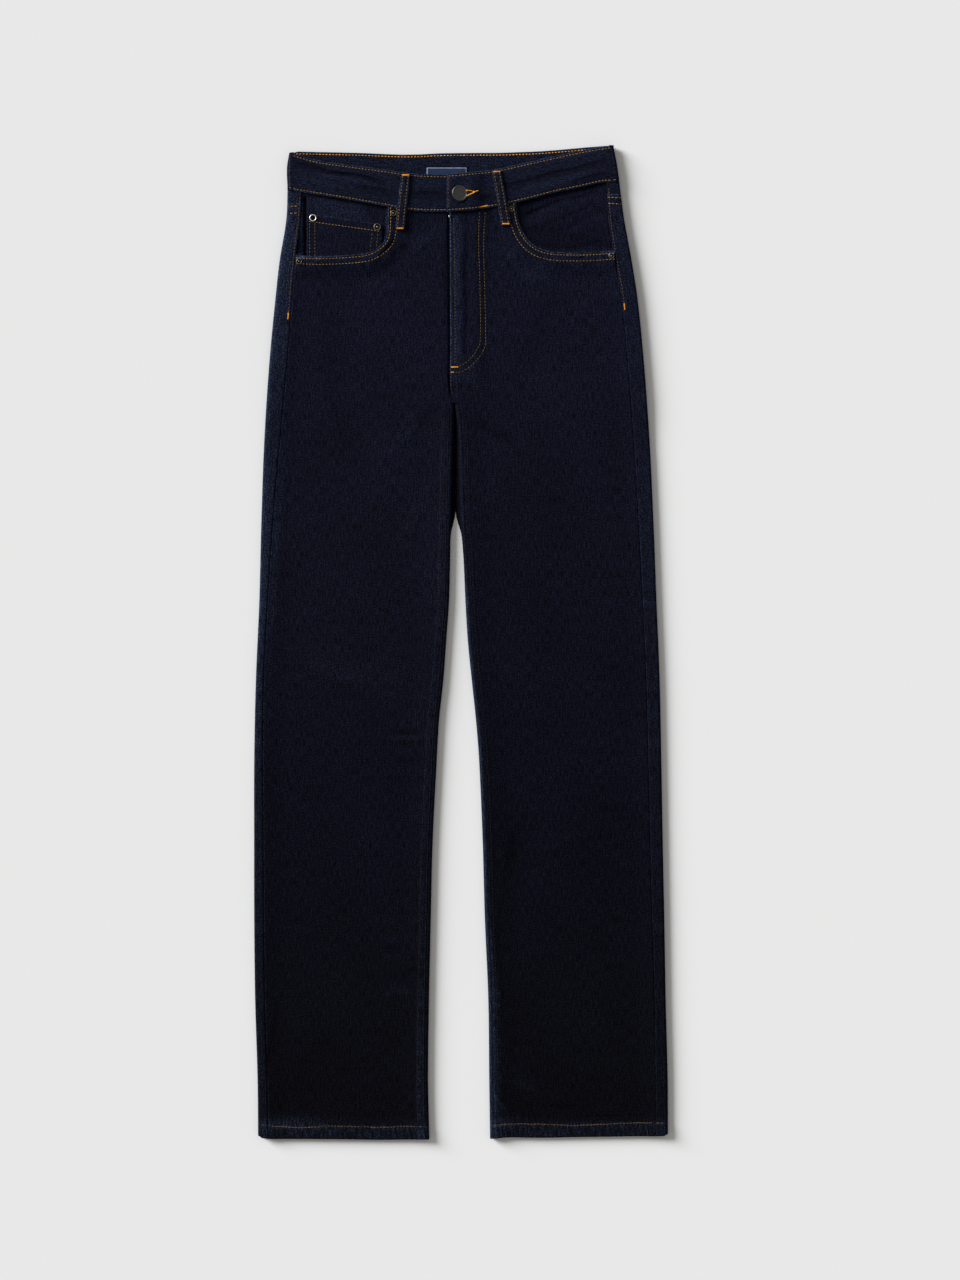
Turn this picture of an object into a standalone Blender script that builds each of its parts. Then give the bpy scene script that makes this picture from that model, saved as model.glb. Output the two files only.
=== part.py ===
"""Straight-cut five-pocket jeans, laid flat and face up on a surface.

The cloth is modelled as walls of denim. The back panels lie on the surface, wrap round the
fold edges and come up to the side seams and inseams; the front panels lie on them. Sizes are
in millimetres. "up" is the distance above the hem line, along +Y. Left is -X, seen from above.
"""

from collections import namedtuple
from math import asin, cos, hypot, pi, radians, sin

import bmesh
import bpy

MM = 0.001

# Driving sizes of the cloth and the trims.
LENGTH = 1063.5  # hem to the highest point of the waist
CLOTH = 1.2  # one ply of denim
BAND = 2.6  # the waistband, two plies pressed together
LOOP = 1.7  # a belt loop, folded and pressed
SEAM = 0.3  # gap between two pieces, at a seam or where one lies on another
LEG_RISE = 4.2  # height of a flattened leg over its middle
FOLD_RISE = 5.6  # the same at a fold edge, where the cloth springs up
FOLD_CREST = 5.0  # the fold keeps its full height this far in from the edge
FOLD_REACH = 34.0  # and has sunk to LEG_RISE this far in
HEM_DEPTH = 13.0
HEM_PLY = 0.9  # what the turned hem adds to the wall
# How far the hem turns up, point by point round the outer fold.
HEM_LIFT = (0.0, 0.6, 2.0, 3.0, 3.4, 3.0, 2.0, 1.0, 0.4)
LAP = 1.7  # how far a panel stands up where it lies over another
WAIST_Z = 5.8  # underside of the front waistband
BAND_RISE = 6.9  # height of the waistband's fold edges

# The hidden side rests on its patch pockets and belt loops, and sinks to the surface below them.
REST = CLOTH + SEAM
REST_FROM = 742.0
REST_FULL = 802.0

# The centre seams and the crotch.
CROTCH = 787.0
CENTRE_TORSO = -8.3
CENTRE_LEGS = -5.9
INSEAM_IN = 4.2  # from the inner fold edge to the inseam

# Outline of the garment and its side seams, as x at each level.
Side = namedtuple("Side", "up left_edge left_seam right_seam right_edge")
SIDES = [
    Side(0, -217.3, -206.1, 208.3, 221.6),
    Side(64, -217.9, -207.4, 208.1, 221.3),
    Side(149, -220.5, -210.0, 207.0, 219.2),
    Side(235, -221.5, -211.0, 204.5, 217.7),
    Side(320, -221.6, -211.5, 202.2, 216.0),
    Side(406, -221.5, -212.2, 200.4, 214.5),
    Side(492, -219.7, -211.1, 198.1, 212.7),
    Side(577, -216.0, -206.9, 194.4, 209.3),
    Side(663, -213.8, -201.2, 189.9, 206.0),
    Side(748, -210.7, -193.7, 184.8, 201.9),
    Side(834, -205.0, -185.8, 177.9, 195.6),
    Side(898, -198.9, -181.0, 172.4, 189.2),
    Side(941, -194.1, -177.2, 166.0, 182.6),
    Side(984, -187.1, -171.0, 159.1, 174.8),
    Side(1016, -185.8, -168.3, 156.9, 170.5),
    Side(1040, -186.3, -166.4, 155.2, 167.5),
    Side(1061, -182.8, -165.0, 153.8, 163.5),
]

# Inner edges of the two legs.
Inner = namedtuple("Inner", "up left right")
INNER = [
    Inner(0, -33.9, 31.1),
    Inner(64, -35.3, 30.2),
    Inner(149, -34.3, 29.2),
    Inner(235, -32.4, 25.5),
    Inner(320, -30.3, 23.1),
    Inner(406, -26.0, 19.3),
    Inner(449, -23.5, 15.9),
    Inner(492, -18.9, 11.4),
    Inner(534, -15.8, 7.2),
    Inner(577, -12.8, 4.6),
    Inner(620, -11.7, 2.7),
    Inner(652, -11.4, 0.5),
    Inner(716, -9.7, -1.8),
    Inner(759, -8.5, -3.1),
    Inner(787, -7.7, -6.9),
]
# Near the crotch the underside of each inner fold spreads as far as the centre.
SPREAD_FROM = 652.0
SPREAD_FULL = 695.0

# Top and foot edges of the front waistband, which dips at the middle.
Band = namedtuple("Band", "x top foot")
BAND_LEFT = [
    Band(-186.5, 1057.2, 1016.1),
    Band(-157.2, 1048.3, 1011.3),
    Band(-120.3, 1042.7, 1005.3),
    Band(-83.5, 1037.8, 999.0),
    Band(-51.5, 1033.5, 993.5),
    Band(-22.0, 1032.3, 992.5),
    Band(9.3, 1032.9, 993.7),
]
BAND_RIGHT = [
    Band(-15.2, 1032.3, 992.0),
    Band(9.3, 1034.4, 993.8),
    Band(30.4, 1036.8, 996.7),
    Band(45.5, 1039.5, 999.4),
    Band(72.8, 1045.7, 1005.8),
    Band(100.0, 1051.8, 1012.8),
    Band(127.3, 1057.7, 1018.5),
    Band(150.5, 1061.8, 1023.5),
    Band(167.7, 1064.1, 1024.4),
]
BAND_BACK = [
    Band(-186.5, 1057.6, 1016.1),
    Band(-151.2, 1057.2, 1016.1),
    Band(-65.6, 1056.4, 1016.2),
    Band(-10.0, 1056.0, 1016.4),
    Band(20.0, 1057.1, 1017.0),
    Band(105.6, 1060.2, 1020.5),
    Band(140.5, 1062.6, 1023.0),
    Band(167.7, 1064.4, 1024.4),
]
BAND_SEAM_IN = 5.3  # from the fold edge to the waistband's side seam
LEFT_BAND_END = 9.3
RIGHT_BAND_END = -15.2
BAND_STEP = (11.0, 30.0)  # where the right end comes down again, past the left end under it

# Yoke seams: the level at each side, and at the centre back.
YOKE_SIDE = {"left": 1000.5, "right": 1010.1}
YOKE_CENTRE = 965.7

# The fly: the right front's edge, and the left front's edge under it.
Centre = namedtuple("Centre", "up right_edge left_edge")
FLY = [
    Centre(787, -7.1, -7.4),
    Centre(798, -10.4, -10.7),
    Centre(818, -11.7, -12.0),
    Centre(832, -11.4, -7.0),
    Centre(850, -11.3, -2.5),
    Centre(930, -11.7, -2.5),
    Centre(994, -12.1, -2.5),
]
FLY_FADE = (800.0, 819.0)  # the right front comes down on to the seam between these levels
FLY_REACH = (14.0, 32.0)  # and past the zip between these x

# Rows of the panels between the crotch and the yoke seam, as parts of the way up the side seam.
TORSO_ROWS = (0.0, 0.2, 0.4, 0.6, 0.67, 0.84, 1.0)
FRONT_SIDE_ROWS = TORSO_ROWS[1:5]  # the front panels leave the side seam below the pocket opening

# Front pocket openings, from the side seam round to the waistband.
Point = namedtuple("Point", "x up")
POCKET_LEFT = [
    Point(-176.6, 945.6),
    Point(-150.0, 944.8),
    Point(-120.3, 946.0),
    Point(-98.2, 949.1),
    Point(-83.5, 958.9),
    Point(-78.5, 971.2),
    Point(-77.9, 997.6),
]
POCKET_RIGHT = [
    Point(164.4, 950.8),
    Point(142.0, 949.2),
    Point(120.5, 948.7),
    Point(94.6, 950.1),
    Point(78.2, 956.2),
    Point(67.3, 968.5),
    Point(61.1, 984.8),
    Point(59.1, 1002.2),
]
UNDERLAP = 7.0  # how far a facing runs on under the front panel
LAP_FLAT = 11.0  # a front panel stands up this far in from the pocket opening
LAP_REACH = 28.0  # and has come down again this far in

# The coin pocket, on the left facing.
COIN_LEFT = -164.5
COIN_RIGHT = -84.6
COIN_TOP_LEFT = 990.8
COIN_TOP_RIGHT = 979.2
COIN_UNDERLAP = 5.0
COIN_LIFT_START = (COIN_LEFT - 14.0, COIN_LEFT - 3.0)  # the front panel rises over it between these x
COIN_LIFT_END = (COIN_RIGHT + 6.0, COIN_RIGHT + 16.0)  # and comes down again between these

# Patch pockets on the hidden side.
PATCH_WIDTH = 128.0
PATCH_SIDE = 118.0
PATCH_POINT = 138.0
PATCH_TOP = 948.0
PATCH_CENTRE = {"left": -100.0, "right": 84.0}
PATCH_TAPER = 5.0  # each side leans in this far towards the foot
PATCH_CORNER = 4.0  # width of the cut corners
PATCH_BLUNT = 1.0  # how much of the point is cut off

# Trims.
LOOP_WIDTH = 10.0
BACK_LOOPS = {"left": -104.0, "centre": CENTRE_TORSO, "right": 88.0}
BACK_LOOP_ENDS = (985.0, 1052.0)
Loop = namedtuple("Loop", "top_x top foot_x foot")
FRONT_LOOPS = {"left": Loop(-58.9, 1033.0, -65.3, 974.2), "right": Loop(37.9, 1036.6, 47.9, 980.1)}
LOOP_BELLY = 0.4  # how far a loop stands off the waistband at its middle
LOOP_STEP = (1.5, 8.0)  # it comes down off the waistband between these distances below the middle's foot
LOOP_EASE = 0.25  # and lies this much above what is under it
RIVETS = {
    "rivet_left_waist": Point(-72.3, 990.8),
    "rivet_left_side": Point(-173.0, 939.2),
    "rivet_right_waist": Point(54.2, 995.6),
    "rivet_right_side": Point(160.8, 945.2),
    "rivet_coin_left": Point(-158.4, 985.9),
    "rivet_coin_right": Point(-89.6, 976.2),
}
RIVET_RADIUS = 3.3
RIVET_HEIGHT = 1.2
RIVET_SIDES = 12
# Half sections, in parts of the radius and the height, from the bottom of the axis to the top of it.
RIVET_SECTION = (
    (0, 0), (1, 0), (1, 0.5), (0.8, 1), (0.6, 0.9), (0.45, 0.35), (0.3, 0.35), (0.2, 0.8), (0, 0.9)
)
BUTTON = Point(-1.1, 1012.9)
BUTTON_RADIUS = 8.6
BUTTON_SIDES = 28
BUTTON_HEIGHT = 2.2
BUTTON_SECTION = ((0.92, 0), (1, 0.3), (1, 0.7), (0.94, 1), (0.85, 1), (0.8, 0.8), (0, 0.8))
SHANK_RADIUS = 2.5
EYE_RADIUS = 3.3  # the buttonhole's round end, about the shank
EYE_SIDES = 24
HOLE_END = 14.7  # x of the other end of its slot
HOLE_WIDTH = 2.0
LABEL = (-36.7, 1018.1, 6.1, 1040.0)  # low and high corners of the label
LABEL_PLY = 1.0
ZIP = (-1.8, 836.0, 12.2, 975.0)  # low and high corners of the zip
ZIP_PLY = 1.6
SLIDER = (1.0, 977.0, 9.5, 989.0)
SLIDER_PLY = 2.5


def smooth(start, end, value):
    """0 before start, 1 after end, with a soft passage between them."""
    t = min(max((value - start) / (end - start), 0.0), 1.0)
    return t * t * (3 - 2 * t)


def mix(a, b, t):
    return a + (b - a) * t


def curve(rows, key, column):
    """A smooth function through one column of a table, read against another."""
    points = sorted((getattr(row, key), getattr(row, column)) for row in rows)
    last = len(points) - 1

    def slope(i):
        before, after = points[max(i - 1, 0)], points[min(i + 1, last)]
        return (after[1] - before[1]) / (after[0] - before[0])

    def read(at):
        at = min(max(at, points[0][0]), points[last][0])
        i = max(n for n in range(last) if points[n][0] <= at)
        (x0, y0), (x1, y1) = points[i], points[i + 1]
        width = x1 - x0
        t = (at - x0) / width
        start, end = slope(i) * width, slope(i + 1) * width
        rise = (2 * t - 3) * t * t
        return y0 * (rise + 1) - y1 * rise + start * t * (1 - t) ** 2 - end * t * t * (1 - t)

    return read


EDGE = {side: curve(SIDES, "up", side + "_edge") for side in ("left", "right")}
SIDE_SEAM = {side: curve(SIDES, "up", side + "_seam") for side in ("left", "right")}
INNER_EDGE = {side: curve(INNER, "up", side) for side in ("left", "right")}
FLY_EDGE = {side: curve(FLY, "up", side + "_edge") for side in ("left", "right")}
BANDS = {"left": BAND_LEFT, "right": BAND_RIGHT, "back": BAND_BACK}
BAND_TOP = {name: curve(rows, "x", "top") for name, rows in BANDS.items()}
BAND_FOOT = {name: curve(rows, "x", "foot") for name, rows in BANDS.items()}
INWARD = {"left": 1, "right": -1}
HEM = {"left": 0.0, "right": 2.4}


def along(points, steps):
    """Evenly spaced points on a smooth line through the given ones."""
    fine = []
    for i in range(len(points) - 1):
        a, b = points[i], points[i + 1]
        before, after = points[max(i - 1, 0)], points[min(i + 2, len(points) - 1)]
        for n in range(8):
            t = n / 8
            fine.append(
                tuple(
                    0.5
                    * (
                        2 * b0
                        + (b1 - bm) * t
                        + (2 * bm - 5 * b0 + 4 * b1 - b2) * t * t
                        + (3 * b0 - bm - 3 * b1 + b2) * t ** 3
                    )
                    for bm, b0, b1, b2 in zip(before, a, b, after)
                )
            )
    fine.append(tuple(points[-1]))
    reach = [0.0]
    for a, b in zip(fine, fine[1:]):
        reach.append(reach[-1] + hypot(b[0] - a[0], b[1] - a[1]))
    spaced = []
    for step in range(steps + 1):
        wanted = reach[-1] * step / steps
        i = min(max(n for n in range(len(reach)) if reach[n] <= wanted), len(fine) - 2)
        t = (wanted - reach[i]) / (reach[i + 1] - reach[i])
        spaced.append(Point(mix(fine[i][0], fine[i + 1][0], t), mix(fine[i][1], fine[i + 1][1], t)))
    return spaced


POCKET_STEPS = 10
POCKET_LINE = {
    "left": along(POCKET_LEFT, POCKET_STEPS),
    "right": along(POCKET_RIGHT, POCKET_STEPS),
}


def distance_to(line, x, up):
    """Distance from a point to a run of straight stretches."""
    nearest = 1e9
    for a, b in zip(line, line[1:]):
        dx, dy = b[0] - a[0], b[1] - a[1]
        t = ((x - a[0]) * dx + (up - a[1]) * dy) / (dx * dx + dy * dy)
        t = min(max(t, 0.0), 1.0)
        nearest = min(nearest, hypot(x - a[0] - dx * t, up - a[1] - dy * t))
    return nearest


def centre(up):
    """The line between the two halves of the back, which shifts a little at the crotch."""
    return mix(CENTRE_LEGS, CENTRE_TORSO, smooth(745, 830, up))


def rest(up):
    """Height of the back panels' underside over the surface."""
    return REST * smooth(REST_FROM, REST_FULL, up)


def hem_ply(side, up):
    return HEM_PLY * (1 - smooth(HEM_DEPTH - 0.2, HEM_DEPTH + 1.2, up - HEM[side]))


def wall(side, up):
    return CLOTH + hem_ply(side, up)


def rise(side, x, up):
    """Height of the flattened garment: high at the fold edges, low over the middle."""
    reach = abs(x - EDGE[side](up))
    if up < CROTCH:
        reach = min(reach, abs(x - INNER_EDGE[side](up)))
    else:
        reach = min(reach, hypot(x - centre(CROTCH), up - CROTCH))
    sunk = smooth(FOLD_CREST, FOLD_REACH, reach)
    return mix(FOLD_RISE, LEG_RISE, sunk) + hem_ply(side, up)


def base_top(side, x, up):
    """The upper face of the garment before anything laps over it."""
    return rest(up) + rise(side, x, up)


def coin_lap(x, reach):
    """What the coin pocket under the front panel's edge adds."""
    beside = smooth(*COIN_LIFT_START, x) * (1 - smooth(*COIN_LIFT_END, x))
    return (CLOTH + SEAM) * beside * (1 - smooth(LAP_FLAT - 2, LAP_REACH, reach))


def front_top(side, x, up):
    """The upper face of a front panel, which laps over the pocket facing and the zip."""
    reach = distance_to(POCKET_LINE[side], x, up)
    top = base_top(side, x, up) + LAP * (1 - smooth(LAP_FLAT, LAP_REACH, reach))
    if side == "left":
        return top + coin_lap(x, reach)
    return top + LAP * smooth(*FLY_FADE, up) * (1 - smooth(*FLY_REACH, x))


def inset(points, thickness):
    """The other face of a wall, to the right of a line that is walked from its first point."""
    normals = []
    for a, b in zip(points, points[1:]):
        length = hypot(b[0] - a[0], b[1] - a[1])
        normals.append(((b[1] - a[1]) / length, (a[0] - b[0]) / length))
    moved = []
    for i, point in enumerate(points):
        n1 = normals[max(i - 1, 0)]
        n2 = normals[min(i, len(normals) - 1)]
        scale = thickness / (1 + n1[0] * n2[0] + n1[1] * n2[1])
        moved.append((point[0] + (n1[0] + n2[0]) * scale, point[1] + (n1[1] + n2[1]) * scale))
    return moved


def fold(edge, inward, low, height, angles):
    """Points round a fold edge, as (x, z)."""
    radius = height / 2
    return [
        (edge + inward * radius * (1 - cos(radians(a))), low + radius * (1 + sin(radians(a))))
        for a in angles
    ]


FOLD_ANGLES = (90, 60, 30, 0, -30, -60, -90)
UNDER_STEPS = (0.33, 0.67)
CENTRE_MARGIN = 4.0


def panel_section(side, up, wrapped):
    """Outer (x, z) points round a back panel: flap, outer fold, underside, and the inner fold too where the
    leg is wrapped."""
    inward = INWARD[side]
    edge, low = EDGE[side](up), rest(up)
    height = FOLD_RISE + hem_ply(side, up)
    seam = SIDE_SEAM[side](up) - inward * SEAM / 2
    arc = fold(edge, inward, low, height, FOLD_ANGLES)
    between = mix(seam, arc[0][0], 0.5)
    points = [(seam, base_top(side, seam, up)), (between, base_top(side, between, up))] + arc
    middle = centre(up) - inward * SEAM / 2
    if not wrapped:
        toe = [(middle - inward * CENTRE_MARGIN, low), (middle, low)]
        return points + under_points(points[-1], toe[0]) + toe
    inner = INNER_EDGE[side](up)
    round_edge = fold(inner, -inward, low, height, (-90, -45, 0, 45, 90))
    half = height / 2
    spread_edge = [
        (middle - inward * CENTRE_MARGIN, low),
        (middle, low),
        (mix(middle, inner, 0.6), low + 0.45 * height),
        (inner - inward * 0.3 * half, low + height - 0.3 * half),
        round_edge[4],
    ]
    spread = smooth(SPREAD_FROM, SPREAD_FULL, up)
    toe = [(mix(a[0], b[0], spread), mix(a[1], b[1], spread)) for a, b in zip(round_edge, spread_edge)]
    end = (inner - inward * (INSEAM_IN - SEAM / 2), toe[4][1])
    return points + under_points(points[-1], toe[0]) + toe + [end]


def under_points(start, end):
    return [(mix(start[0], end[0], t), mix(start[1], end[1], t)) for t in UNDER_STEPS]


FOLD_POINTS = 2 + len(FOLD_ANGLES)
TORSO_POINTS = FOLD_POINTS + len(UNDER_STEPS) + 2
LEG_POINTS = TORSO_POINTS + 4


def yoke_level(side, k):
    """Level of the yoke seam at the k-th point round a section: it slopes down to the centre back."""
    across = max(k - FOLD_POINTS + 1, 0) / (TORSO_POINTS - FOLD_POINTS)
    return mix(YOKE_SIDE[side], YOKE_CENTRE, min(across, 1.0))


def hem_level(side, k):
    """Level of the hem at the k-th point round a section."""
    return HEM[side] + (HEM_LIFT[k] if k < len(HEM_LIFT) else 0.0)


FINISHES = {
    "indigo_denim": ((0.012, 0.016, 0.036), 0.85, 0.0),
    "antique_nickel": ((0.30, 0.27, 0.22), 0.35, 1.0),
    "button_metal": ((0.055, 0.052, 0.045), 0.45, 1.0),
    "woven_label": ((0.03, 0.06, 0.12), 0.8, 0.0),
    "zip_tape": ((0.012, 0.014, 0.03), 0.8, 0.0),
}


def finish(name, part):
    """A material of the part's own, with its base colour, roughness and metallic value."""
    colour, roughness, metallic = FINISHES[name]
    material = bpy.data.materials.new(part + "_" + name)
    material.use_nodes = True
    shader = material.node_tree.nodes["Principled BSDF"]
    shader.inputs["Base Color"].default_value = (*colour, 1)
    shader.inputs["Roughness"].default_value = roughness
    shader.inputs["Metallic"].default_value = metallic
    return material


def make(name, points, faces, finish_name, round_piece=False):
    """An object with its origin under the middle of its own box, from (x, up, z) points in millimetres."""
    placed = [(x * MM, (up - LENGTH / 2) * MM, z * MM) for x, up, z in points]
    lows = [min(p[axis] for p in placed) for axis in range(3)]
    highs = [max(p[axis] for p in placed) for axis in range(3)]
    origin = ((lows[0] + highs[0]) / 2, (lows[1] + highs[1]) / 2, lows[2])
    mesh = bpy.data.meshes.new(name)
    mesh.from_pydata([tuple(a - b for a, b in zip(p, origin)) for p in placed], [], faces)
    work = bmesh.new()
    work.from_mesh(mesh)
    bmesh.ops.delete(work, geom=[v for v in work.verts if not v.link_faces], context="VERTS")
    bmesh.ops.recalc_face_normals(work, faces=work.faces)
    work.to_mesh(mesh)
    work.free()
    mesh.materials.append(finish(finish_name, name))
    mesh.shade_smooth()
    mesh.set_sharp_from_angle(angle=radians(30 if round_piece else 40))
    piece = bpy.data.objects.new(name, mesh)
    piece.location = origin
    piece.parent = JEANS
    bpy.context.scene.collection.objects.link(piece)
    return piece


def shell(name, outer, inner, finish_name="indigo_denim", keep=None):
    """A closed wall between two grids of points, over the cells that are kept."""
    rows, columns = len(outer), len(outer[0])
    points = [p for row in outer for p in row] + [p for row in inner for p in row]
    under = rows * columns
    cells = {
        (j, k) for j in range(rows - 1) for k in range(columns - 1) if keep is None or keep(j, k)
    }
    faces = []
    for j, k in sorted(cells):
        a, b = j * columns + k, j * columns + k + 1
        c, d = b + columns, a + columns
        faces += [(a, b, c, d), (d + under, c + under, b + under, a + under)]
        sides = {(j - 1, k): (a, b), (j, k + 1): (b, c), (j + 1, k): (c, d), (j, k - 1): (d, a)}
        for beside, (p, q) in sides.items():
            if beside not in cells:
                faces.append((q, p, p + under, q + under))
    return make(name, points, faces, finish_name)


def plate(name, outline, low, high, finish_name):
    """A flat piece with the given outline, between two heights."""
    count = len(outline)
    points = [(x, up, low) for x, up in outline] + [(x, up, high) for x, up in outline]
    faces = [tuple(range(count)), tuple(range(count, 2 * count))]
    faces += [(i, (i + 1) % count, (i + 1) % count + count, i + count) for i in range(count)]
    return make(name, points, faces, finish_name)


def turned(name, at, low, profile, sides, finish_name):
    """A turned piece: (radius, height) points from the bottom of its axis to the top of it."""
    points = [(at.x, at.up, low + profile[0][1])]
    for radius, height in profile[1:-1]:
        for n in range(sides):
            angle = 2 * pi * n / sides
            points.append((at.x + radius * cos(angle), at.up + radius * sin(angle), low + height))
    points.append((at.x, at.up, low + profile[-1][1]))
    rings = len(profile) - 2
    faces = []
    for n in range(sides):
        m = (n + 1) % sides
        faces.append((0, 1 + m, 1 + n))
        for ring in range(rings - 1):
            a, b = 1 + ring * sides, 1 + (ring + 1) * sides
            faces.append((a + n, a + m, b + m, b + n))
        top = 1 + (rings - 1) * sides
        faces.append((top + n, top + m, len(points) - 1))
    return make(name, points, faces, finish_name, round_piece=True)


LEG_LEVELS = (64, 149, 235, 320, 406, 492, 577, 652, 674, 695, 742, 757, 772, 787)
HEM_LEVELS = (0.0, HEM_DEPTH - 0.2, HEM_DEPTH + 1.2)
FORK_LEVELS = (CROTCH + 4 * SEAM, REST_FULL, 811.0, 820.0)


def make_back(side):
    """A back panel, from the hem to the yoke seam."""
    leg_rows = [HEM[side] + up for up in HEM_LEVELS] + list(LEG_LEVELS)
    outer, inner = [], []
    for j, level in enumerate(leg_rows):
        levels = [hem_level(side, k) if j == 0 else level for k in range(LEG_POINTS)]
        add_row(side, levels, True, outer, inner)
    for t in TORSO_ROWS:
        levels = [mix(REST_FULL, yoke_level(side, k) - SEAM / 2, t) for k in range(TORSO_POINTS)]
        add_row(side, levels, False, outer, inner)
    crotch_row = len(leg_rows) - 1
    shell(
        "back_" + side,
        outer,
        inner,
        keep=lambda j, k: j < crotch_row or k < TORSO_POINTS - 1,
    )


def add_row(side, levels, wrapped, outer, inner):
    """One row of a back panel's two faces, each point at its own level. A short row ends in copies."""
    outer_row, inner_row = [], []
    for k, level in enumerate(levels):
        section = panel_section(side, level, wrapped)
        inside = inset(section, -INWARD[side] * wall(side, level))
        outer_row.append((section[k][0], level, section[k][1]))
        inner_row.append((inside[k][0], level, inside[k][1]))
    while len(outer_row) < LEG_POINTS:
        outer_row.append(outer_row[-1])
        inner_row.append(inner_row[-1])
    outer.append(outer_row)
    inner.append(inner_row)


def make_yoke(side):
    """A back yoke: a flap beside the waistband, round the fold and across to the centre back."""
    outer, inner = [], []
    for t in (0.0, 0.5, 1.0):
        levels = []
        for k in range(TORSO_POINTS):
            low = yoke_level(side, k) + SEAM / 2
            x = panel_section(side, low, False)[k][0]
            if k < 2:
                high = BAND_FOOT[side](x)
            elif k < FOLD_POINTS:
                high = band_corner(side, 0)
            else:
                high = BAND_FOOT["back"](x)
            levels.append(mix(low, high - SEAM, t))
        add_row(side, levels, False, outer, inner)
    outer = [row[:TORSO_POINTS] for row in outer]
    inner = [row[:TORSO_POINTS] for row in inner]
    shell("yoke_" + side, outer, inner)


def front_rows(side):
    """Ends of a front panel's rows, as (outer point, inner point), from the hem up."""
    inward = INWARD[side]
    gap = inward * SEAM / 2

    def seam(up):
        return Point(SIDE_SEAM[side](up) + gap, up)

    def inseam(up):
        return Point(INNER_EDGE[side](up) - inward * INSEAM_IN - gap, up)

    def fly(up):
        return Point(FLY_EDGE[side](up), up)

    levels = [HEM[side] + up for up in HEM_LEVELS] + list(LEG_LEVELS[:-1])
    rows = [(seam(up), inseam(up)) for up in levels]
    rows.append((seam(CROTCH + SEAM), inseam(CROTCH + SEAM)))
    side_rows = [mix(REST_FULL, YOKE_SIDE[side], t) for t in FRONT_SIDE_ROWS]
    for up in (*FORK_LEVELS, *side_rows):
        rows.append((seam(up), fly(up)))
    top = BAND_FOOT[side](FLY[-1].right_edge) - SEAM
    for step, point in enumerate(POCKET_LINE[side]):
        rows.append((point, fly(mix(side_rows[-1], top, (step + 1) / (POCKET_STEPS + 1)))))
    return rows


# Columns of a front panel: distances from its outer end, parts of its middle, distances from its inner end.
OUTER_STEPS = (0.0, 9.0, 18.0, 28.0)
MIDDLE_STEPS = (1 / 3, 2 / 3)
INNER_STEPS = (25.0, 12.0, 0.0)
BENT_ROWS = 6  # the last rows of a front panel bend towards the waistband's foot


def make_front(side):
    """A front panel, from the hem to the waistband, cut away at the pocket opening."""
    rows = front_rows(side)
    first_bent = len(rows) - 1 - BENT_ROWS
    upper, lower = [], []
    for j, (a, b) in enumerate(rows):
        width = hypot(b.x - a.x, b.up - a.up)
        inside = width - OUTER_STEPS[-1] - INNER_STEPS[0]
        steps = list(OUTER_STEPS) + [OUTER_STEPS[-1] + inside * t for t in MIDDLE_STEPS]
        steps += [width - step for step in INNER_STEPS]
        bend = max(j - first_bent, 0) / BENT_ROWS
        last_a, last_b = rows[-1]
        upper_row, lower_row = [], []
        for step in steps:
            t = step / width
            x, up = mix(a.x, b.x, t), mix(a.up, b.up, t)
            straight = mix(last_a.up, last_b.up, (x - last_a.x) / (last_b.x - last_a.x))
            up += bend * (BAND_FOOT[side](x) - SEAM - straight)
            top = front_top(side, x, up)
            upper_row.append((x, up, top))
            lower_row.append((x, up, top - wall(side, up)))
        upper.append(upper_row)
        lower.append(lower_row)
    shell("front_" + side, upper, lower)


BAND_ROWS = (0.0, 0.33, 0.67, 1.0)
BAND_CORNER_X = {"left": -182.0, "right": 163.0}


def band_corner(side, t):
    """Level of the waistband at its fold edge, from its foot at 0 to its top at 1."""
    x = BAND_CORNER_X[side]
    return mix(BAND_FOOT[side](x), BAND_TOP[side](x), t)


def make_band(side, end, steps):
    """Half of the front waistband, between its side seam and its end at the middle."""
    inward = INWARD[side]
    top_line, foot_line = BAND_TOP[side], BAND_FOOT[side]
    upper, lower = [], []
    for t in BAND_ROWS:
        start = EDGE[side](band_corner(side, t)) + inward * (BAND_SEAM_IN + SEAM / 2)
        upper_row, lower_row = [], []
        for n in range(steps + 1):
            x = mix(start, end, n / steps)
            up = mix(foot_line(x), top_line(x), t)
            low = WAIST_Z + band_lift(side, x)
            upper_row.append((x, up, low + BAND))
            lower_row.append((x, up, low))
        upper.append(upper_row)
        lower.append(lower_row)
    return shell("waistband_front_" + side, upper, lower)


def band_lift(side, x):
    """How far the waistband stands up: its right end lies over its left end."""
    return (BAND + SEAM) * (1 - smooth(*BAND_STEP, x)) if side == "right" else 0.0


def cut_buttonhole(band):
    """A keyhole through the right end: a round eye with a slot."""
    half = HOLE_WIDTH / 2
    start = asin(half / EYE_RADIUS)
    outline = []
    for n in range(EYE_SIDES + 1):
        angle = mix(start, 2 * pi - start, n / EYE_SIDES)
        outline.append((BUTTON.x + EYE_RADIUS * cos(angle), BUTTON.up + EYE_RADIUS * sin(angle)))
    outline += [(HOLE_END, BUTTON.up - half), (HOLE_END, BUTTON.up + half)]
    cutter = plate("buttonhole_cutter", outline, WAIST_Z, WAIST_Z + 3 * BAND, "indigo_denim")
    cutter.hide_render = True
    cutter.display_type = "WIRE"
    hole = band.modifiers.new("buttonhole", "BOOLEAN")
    hole.operation = "DIFFERENCE"
    hole.object = cutter


BAND_UNDER_STEPS = 10


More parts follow.
